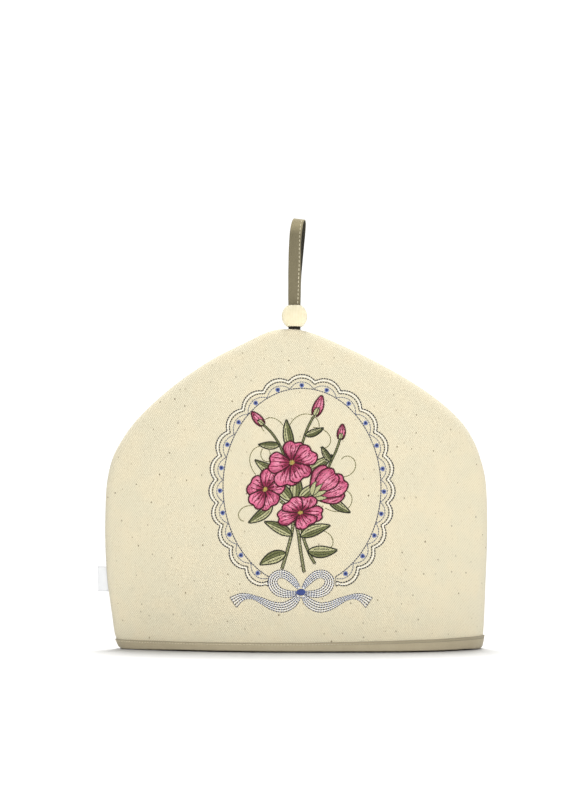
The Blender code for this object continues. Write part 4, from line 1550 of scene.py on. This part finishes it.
def cotton_drill():
    """Unbleached cotton drill: steep twill lines, slubs and flecks of seed."""
    n = Nodes("natural_cotton_drill")
    place = n.mapped(n.uv(), scale=(100, 100, 100))          # millimetres
    slub = n.noise(n.mapped(place, scale=(1.9, 0.07, 1)), 1.0, 3.0, 0.6)
    yarn = n.noise(n.mapped(place, scale=(2.6, 0.9, 1)), 1.0, 2.0, 0.6)
    cloudy = n.noise(place, 0.045, 3.0, 0.55)
    bent = n.noise(place, 0.16, 2.0, 0.5)

    across = n.parts(n.mapped(place, turn=math.radians(-34)))[0]
    across = n.add(across, n.times(bent, 0.9))
    phase = n.times(across, 2 * math.pi / 1.47)
    ridge = n.math("MULTIPLY_ADD", n.math("SINE", phase), 0.5, 0.5)
    weft = n.math("MULTIPLY_ADD", n.math("SINE", n.times(n.parts(place)[1], 2 * math.pi / 0.62)), 0.5, 0.5)
    height = n.add(n.times(ridge, 0.54), n.add(n.times(yarn, 0.36), n.times(weft, 0.10)))

    light, dark = linear(CLOTH_LIGHT), linear(CLOTH_DARK)
    colour = n.mix(n.range(height, 0.20, 0.85), dark, light)
    warm = linear((226, 212, 182))
    colour = n.mix(n.times(n.range(cloudy, 0.35, 0.7, smooth=True), 0.30), colour, warm)
    colour = n.mix(n.range(slub, 0.30, 0.70), colour, (0.965, 0.955, 0.94), blend="MULTIPLY")

    flecks = n.cells(n.mapped(place, scale=(1.0, 0.80, 1.0), shift=(3.1, 5.2, 0)), 0.062)
    pick = n.parts(flecks.outputs["Color"])
    size = n.range(pick[1], 0.0, 1.0, 0.034, 0.052)
    spot = n.range(flecks.outputs["Distance"], size, n.times(size, 0.55))
    spot = n.times(spot, n.math("GREATER_THAN", pick[0], 0.22))
    spot = n.times(spot, n.range(pick[2], 0.0, 1.0, 0.30, 0.95))
    colour = n.mix(spot, colour, linear((104, 88, 58)))
    motes = n.cells(n.mapped(place, scale=(1.0, 0.8, 1.0)), 0.33)
    mote_pick = n.parts(motes.outputs["Color"])
    mote = n.times(n.math("LESS_THAN", motes.outputs["Distance"], 0.115),
                   n.times(n.math("GREATER_THAN", mote_pick[0], 0.60), 0.34))
    colour = n.mix(mote, colour, linear((150, 128, 90)))

    normal = n.bump(height, 0.92, 0.00026)
    normal = n.bump(slub, 0.28, 0.0004, normal)
    rough = n.range(yarn, 0.2, 0.8, 0.84, 0.96)
    return n.finish(colour, rough, normal, Diffuse_Roughness=0.5, Specular_IOR_Level=0.25,
                    Sheen_Weight=0.12, Sheen_Roughness=0.6)


def plain_tape(name, light, dark, pitch=0.42, toned=False):
    """Closely woven taupe cotton, with a slight heathered look."""
    n = Nodes(name)
    place = n.mapped(n.uv(), scale=(100, 100, 100))
    turned = n.mapped(place, turn=math.radians(42))
    u, v, _ = n.parts(turned)
    warp = n.math("SINE", n.times(u, 2 * math.pi / pitch))
    weft = n.math("SINE", n.times(v, 2 * math.pi / pitch))
    weave = n.math("MULTIPLY_ADD", n.times(warp, weft), 0.5, 0.5)
    grain = n.noise(n.mapped(turned, scale=(2.4, 0.5, 1)), 1.0, 2.0, 0.6)
    cloudy = n.noise(place, 0.09, 3.0, 0.55)
    height = n.add(n.times(weave, 0.6), n.times(grain, 0.4))
    colour = n.mix(n.range(height, 0.2, 0.8), linear(dark), linear(light))
    colour = n.mix(n.range(cloudy, 0.30, 0.70), colour, (0.93, 0.93, 0.92), blend="MULTIPLY")
    # the tone carries painted shade and painted highlight set on the tape and the strap
    if toned:
        colour = n.mix(1.0, colour, n.tone(), blend="MULTIPLY")
    normal = n.bump(height, 0.45, 0.00014)
    rough = n.range(grain, 0.2, 0.8, 0.80, 0.94)
    return n.finish(colour, rough, normal, Specular_IOR_Level=0.3, Sheen_Weight=0.18,
                    Sheen_Roughness=0.5)


def pale_wood():
    """Waxed maple: fine rings about the bore, pores and a soft gloss."""
    n = Nodes("pale_wood_waxed")
    place = n.mapped(n.object_place(), scale=(1000, 1000, 1000),
                     shift=(-(STRAP_X + SHIFT_X), 0, 0))
    u, v, w = n.parts(place)
    wander = n.noise(n.mapped(place, scale=(0.10, 0.10, 0.03)), 1.0, 2.0, 0.5)
    away = n.math("SQRT", n.add(n.math("POWER", n.add(u, 19.0), 2.0), n.math("POWER", n.add(v, 7.0), 2.0)))
    ring = n.math("SINE", n.times(n.add(away, n.times(wander, 5.0)), 2 * math.pi / 2.3))
    fibre = n.noise(n.mapped(place, scale=(3.4, 3.4, 0.16)), 1.0, 3.0, 0.6)
    grain = n.add(n.times(n.math("MULTIPLY_ADD", ring, 0.5, 0.5), 0.45), n.times(fibre, 0.55))
    colour = n.mix(n.range(grain, 0.2, 0.8), linear((221, 213, 184)), linear((225, 217, 191)))
    pores = n.noise(n.mapped(place, scale=(6.0, 6.0, 0.5)), 1.0, 1.0, 0.5)
    colour = n.mix(n.times(n.range(pores, 0.66, 0.74, smooth=True), 0.10), colour, linear((214, 199, 156)))
    normal = n.bump(fibre, 0.08, 0.00005)
    rough = n.range(fibre, 0.2, 0.8, 0.34, 0.50)
    return n.finish(colour, rough, normal, Diffuse_Roughness=1.0, Specular_IOR_Level=0.25,
                    Coat_Weight=0.04, Coat_Roughness=0.35)


def woven_label():
    """White satin ribbon: fine warp lines, denser selvedges."""
    n = Nodes("white_woven_satin")
    place = n.mapped(n.uv(), scale=(100, 100, 100))
    u, v, _ = n.parts(place)
    lines = n.math("MULTIPLY_ADD", n.math("SINE", n.times(v, 2 * math.pi / 0.34)), 0.5, 0.5)
    picks = n.math("MULTIPLY_ADD", n.math("SINE", n.times(u, 2 * math.pi / 0.5)), 0.5, 0.5)
    grain = n.noise(n.mapped(place, scale=(0.6, 3.0, 1)), 1.0, 2.0, 0.6)
    height = n.add(n.times(lines, 0.5), n.add(n.times(picks, 0.2), n.times(grain, 0.3)))
    colour = n.mix(n.range(height, 0.1, 0.9), linear((209, 211, 213)), linear((227, 228, 229)))
    edge = n.range(n.math("ABSOLUTE", v), LABEL_HEIGHT / 2 - 1.3, LABEL_HEIGHT / 2 - 0.9, smooth=True)
    colour = n.mix(n.times(edge, 0.7), colour, (0.84, 0.84, 0.85), blend="MULTIPLY")
    normal = n.bump(height, 0.35, 0.00010)
    rough = n.range(grain, 0.2, 0.8, 0.46, 0.66)
    return n.finish(colour, rough, normal, Sheen_Weight=0.1)


def rayon(name, gloss):
    """Embroidery thread: its own dyed tone, a fine twist and a silky gloss."""
    n = Nodes(name)
    place = n.mapped(n.uv(), scale=(100, 100, 100))
    u, v, _ = n.parts(place)
    twist = n.math("SINE", n.times(n.add(u, n.times(v, 1.1)), 2 * math.pi / 0.42))
    twist = n.math("MULTIPLY_ADD", twist, 0.5, 0.5)
    fibre = n.noise(n.mapped(place, scale=(3.0, 14.0, 1)), 1.0, 2.0, 0.6)
    colour = n.mix(n.range(twist, 0.0, 1.0, 0.30, 0.0), n.tone(), (0.55, 0.55, 0.55), blend="MULTIPLY")
    normal = n.bump(n.add(n.times(twist, 0.7), n.times(fibre, 0.3)), 0.4, 0.00005)
    rough = n.range(fibre, 0.2, 0.8, gloss - 0.05, gloss + 0.10)
    return n.finish(colour, rough, normal, Specular_IOR_Level=0.28, Sheen_Weight=0.03)


def pale_floor():
    n = Nodes("pale_floor")
    place = n.object_place()
    cloudy = n.noise(place, 3.0, 3.0, 0.5)
    colour = n.mix(n.range(cloudy, 0.3, 0.7), (0.675, 0.675, 0.67), (0.695, 0.695, 0.69))
    rough = n.range(cloudy, 0.2, 0.8, 0.75, 0.85)
    return n.finish(colour, rough, None, Specular_IOR_Level=0.1)


CLOTH_LIGHT = (228, 221, 198)
CLOTH_DARK = (198, 191, 166)


# ============================================================ sewn-on details
def hem_stitches(joined, material):
    """The line of topstitching that holds the tape, front and back."""
    count = joined.shape[1]
    lower = smoothstep(-10.0, 100.0, joined[11, :, :1]) * 0.9
    groove = joined[11, :, :3] * (1 - lower) + joined[9, :, :3] * lower     # the stitched dent
    closed = np.vstack([groove, groove[:1]])
    gone = lengths_of(closed)
    total = gone[-1]
    pitch = 2.6
    number = int(total / pitch)
    work = []
    rng = np.random.default_rng(21)
    for k in range(number):
        a = total * (k + 0.10) / number
        b = total * (k + 0.84) / number
        work.append((a + rng.normal(0, 0.05), b + rng.normal(0, 0.05)))
    ab = np.array(work)
    stations = Stitches.STATIONS
    where = ab[:, :1] + (ab[:, 1:] - ab[:, :1]) * stations[None]
    here = at_lengths(closed, where.ravel()).reshape(len(ab), len(stations), 3)
    ahead = at_lengths(closed, np.clip(where.ravel() + 0.3, 0, total)).reshape(here.shape)
    behind = at_lengths(closed, np.clip(where.ravel() - 0.3, 0, total)).reshape(here.shape)
    run = ahead - behind
    run /= np.linalg.norm(run, axis=-1, keepdims=True)
    up = np.array([0.0, 0.0, 1.0])
    normal = np.cross(run, up)
    normal /= np.linalg.norm(normal, axis=-1, keepdims=True)
    centre = here.mean(axis=(0, 1))
    flip = np.sign(((here - np.array([MIDDLE, 0, 5])) * normal * np.array([0.2, 1, 0])).sum(-1, keepdims=True))
    normal = normal * np.where(flip == 0, 1, flip)
    beside = np.cross(normal, run)
    sunk_and_painted_shade = smoothstep(-10.0, 100.0, here[:, :, 0].mean(axis=1))   # sunk deeper to the right, with painted shade there too
    # painted shade: the thread is darkened from left to right as well as sunk into the tape
    return thread_mesh("hem_topstitching", here - normal * (0.14 * sunk_and_painted_shade)[:, None, None],
                       normal, beside, 0.54, 0.28, 0.0,
                       linear(THREAD["cream"]) * (0.98 - 0.56 * sunk_and_painted_shade)[:, None, None, None],
                       material, 22)


def thread_mesh(name, here, normal, beside, width, height, lift, colour, material, seed):
    """Closed stitches from stations given in space."""
    rng = np.random.default_rng(seed)
    ring, narrow, proud = Stitches.RING, Stitches.NARROW, Stitches.PROUD
    across = ring[None, None, :, 0] * width * narrow[None, :, None]
    up = lift - 0.04 + ring[None, None, :, 1] * (height + 0.04) * proud[None, :, None]
    points = (here[:, :, None] + beside[:, :, None] * across[..., None]
              + normal[:, :, None] * up[..., None])
    n, stations, sides_ = points.shape[:3]
    index = np.arange(stations * sides_).reshape(stations, sides_)
    one = grid_faces(index, closed_columns=True)
    one += [index[0][::-1].tolist(), index[-1].tolist()]
    size = stations * sides_
    faces = []
    for k in range(n):
        own = one if volume(points[k].reshape(-1, 3), one) > 0 else [f[::-1] for f in one]
        faces += [[v + k * size for v in f] for f in own]
    tone = colour * (1 + rng.normal(0, 0.05, (n, 1, 1, 1)))
    # painted shade: each stitch is darker along its sides, where it meets the cloth
    tone = tone * np.array([0.7, 0.95, 1.0, 0.95, 0.7])[None, None, :, None]
    tone = np.broadcast_to(tone, (n, stations, sides_, 3))
    long = np.linalg.norm(here[:, -1] - here[:, 0], axis=1)
    u = long[:, None, None] * Stitches.STATIONS[None, :, None] + np.zeros((1, 1, sides_))
    v = np.zeros_like(u) + np.linspace(0, 1, sides_)[None, None, :] * width
    uv = np.stack([u, v], axis=-1).reshape(-1, 2) / 100.0
    return mesh_object(name, points.reshape(-1, 3), faces, material, uv=uv,
                       tone=np.clip(tone.reshape(-1, 3), 0, 1))


def strap_stitches(path, material):
    """Topstitching down one edge of the strap, on both of its faces."""
    line, side_on, out_of, widths, where = path
    pitch = 3.45
    total = where[-1]
    number = int(total / pitch)
    sets = []
    for across in (1,):
        for face in (-1, 1):
            k = np.arange(number)
            a = total * (k + 0.12) / number
            b = total * (k + 0.84) / number
            at = a[:, None] + (b - a)[:, None] * Stitches.STATIONS[None]
            flat = at.ravel()

            def read(values):
                got = np.stack([np.interp(flat, where, values[:, j]) for j in range(3)], axis=1)
                return got.reshape(*at.shape, 3)

            inset = stitch_inset(np.interp(flat, where, line[:, 2]))
            half = (np.interp(flat, where, widths) / 2 - inset).reshape(at.shape)
            here = read(line) + read(side_on) * (across * half)[..., None] + read(out_of) * face * (
                STRAP_THICKNESS / 2 * 0.86 - 0.03)
            normal = read(out_of) * face
            normal /= np.linalg.norm(normal, axis=-1, keepdims=True)
            beside = read(side_on)
            keep = ~((at.max(1) > 0) & (at.min(1) < 8.0)) & (at.max(1) < total - 8.0)
            sets.append((here[keep], normal[keep], beside[keep]))
    hidden = np.concatenate([np.full(len(s[0]), k % 2 == 0) for k, s in enumerate(sets)])
    here, normal, beside = (np.concatenate([s[i] for s in sets]) for i in range(3))
    # painted shade: stitches on the inner face, high up, are darkened almost to black
    shade = np.where(hidden & (here[:, 2, 2] > 322.0), 0.07, 1.04)
    return thread_mesh("loop_topstitching", here, normal, beside, 0.58, 0.26, 0.0,
                       linear(THREAD["cream"]) * shade[:, None, None, None], material, 23)


# ================================================================ the picture
def camera():
    data = bpy.data.cameras.new("camera")
    made = bpy.data.objects.new("camera", data)
    bpy.context.scene.collection.objects.link(made)
    made.location = (-0.00567, -CAMERA_AWAY, CAMERA_HEIGHT)
    made.rotation_euler = (math.radians(90), 0, 0)
    data.sensor_fit = "AUTO"
    data.sensor_width = 36.0
    frame_height = 800 * 0.857 * MM              # what the picture shows at the seam
    data.lens = 36.0 * CAMERA_AWAY / frame_height
    data.shift_y = (0.2127 - CAMERA_HEIGHT) / frame_height
    data.clip_start, data.clip_end = 0.05, 20.0
    bpy.context.scene.camera = made


def area_light(name, place, aim, size, watts, colour=(1, 1, 1)):
    data = bpy.data.lights.new(name, "AREA")
    data.shape = "DISK"
    data.size = size
    data.energy = watts
    data.color = colour
    made = bpy.data.objects.new(name, data)
    bpy.context.scene.collection.objects.link(made)
    made.location = place
    made.rotation_euler = (Vector(aim) - Vector(place)).to_track_quat("-Z", "Y").to_euler()


def studio():
    """A white room: some light all round, a high soft sun from a little behind, and a
    key from the front on the right."""
    scene = bpy.context.scene
    world = bpy.data.worlds.new("studio")
    world.use_nodes = True
    tree = world.node_tree
    around = tree.nodes["Background"]
    around.inputs["Color"].default_value = (1.0, 1.0, 1.0, 1.0)
    around.inputs["Strength"].default_value = AROUND
    beyond = tree.nodes.new("ShaderNodeBackground")
    beyond.inputs["Color"].default_value = (1.0, 1.0, 1.0, 1.0)
    beyond.inputs["Strength"].default_value = 1.15
    seen = tree.nodes.new("ShaderNodeLightPath")
    both = tree.nodes.new("ShaderNodeMixShader")
    tree.links.new(seen.outputs["Is Camera Ray"], both.inputs[0])
    tree.links.new(around.outputs[0], both.inputs[1])
    tree.links.new(beyond.outputs[0], both.inputs[2])
    tree.links.new(both.outputs[0], tree.nodes["World Output"].inputs["Surface"])
    scene.world = world
    scene.view_settings.view_transform = "Standard"
    scene.view_settings.look = "None"
    scene.view_settings.exposure = 0.0
    scene.view_settings.gamma = 1.0
    sun = bpy.data.lights.new("high_sun", "SUN")
    sun.energy = HIGH_SUN * math.pi
    sun.angle = math.radians(30)
    high = bpy.data.objects.new("high_sun", sun)
    scene.collection.objects.link(high)
    high.rotation_euler = Vector((0.01, -0.36, -0.93)).to_track_quat("-Z", "Y").to_euler()
    area_light("key", (0.12, -1.25, 0.54), (0.0, 0.0, 0.13), 0.7, KEY_WATTS)
    mesh = bpy.data.meshes.new("floor")
    mesh.from_pydata([(-6, -6, -0.0003), (6, -6, -0.0003), (6, 6, -0.0003), (-6, 6, -0.0003)], [],
                     [(0, 1, 2, 3)])
    mesh.materials.append(pale_floor())
    floor = bpy.data.objects.new("floor", mesh)
    scene.collection.objects.link(floor)


AROUND = 0.31             # light from all round, as a share of white
HIGH_SUN = 1.40
KEY_WATTS = 11.8
CAMERA_AWAY = 1.5
CAMERA_HEIGHT = 0.112


# ======================================================================= main
def main():
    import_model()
    camera()
    studio()

    drill = cotton_drill()
    tape_cloth = plain_tape("taupe_tape_cloth", (189, 178, 151), (159, 148, 123), toned=True)
    strap_cloth = plain_tape("taupe_strap_cloth", (164, 154, 122), (135, 125, 97), toned=True)
    wood = pale_wood()
    satin = woven_label()
    thread = rayon("embroidery_rayon", 0.48)
    cotton_thread = rayon("sewing_cotton", 0.70)

    front = make_panel("padded_front", -1, drill)
    back = make_panel("padded_back", 1, drill)
    tape, joined = make_tape("folded_hem_tape", tape_cloth)
    strap, path = make_strap("topstitched_loop", strap_cloth)
    ball = make_bead("turned_bead", wood)
    label = make_label("bare_side_label", satin)

    hem_thread = hem_stitches(joined, cotton_thread)
    strap_thread = strap_stitches(path, cotton_thread)

    border = sew_border().build("embroidered_border", thread)
    ribbon = sew_bow().build("embroidered_bow", thread)
    sewn = sew_spray()
    sizes = np.cumsum([sum(len(rows) for rows in work.rows) for work in sewn])
    half = int(np.searchsorted(sizes, 0.5 * sizes[-1])) + 1      # two meshes of like size
    spray = []
    for name, group in (("embroidered_stems", sewn[:half]), ("embroidered_blossoms", sewn[half:])):
        whole = Stitches(1)
        for work in group:
            whole.rows += work.rows
        spray.append(whole.build(name, thread))

    for piece, node, slot in (
        (front, "front_panel", "natural_cotton"),
        (back, "back_panel", "natural_cotton"),
        (tape, "hem_binding", "taupe_tape"),
        (strap, "hanging_loop", "taupe_tape"),
        (ball, "bead", "pale_wood"),
        (label, "side_label", "white_woven"),
    ):
        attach(piece, "root")
        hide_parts(node)
    for piece in [hem_thread, strap_thread, border, ribbon] + spray:
        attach(piece, "root")


main()
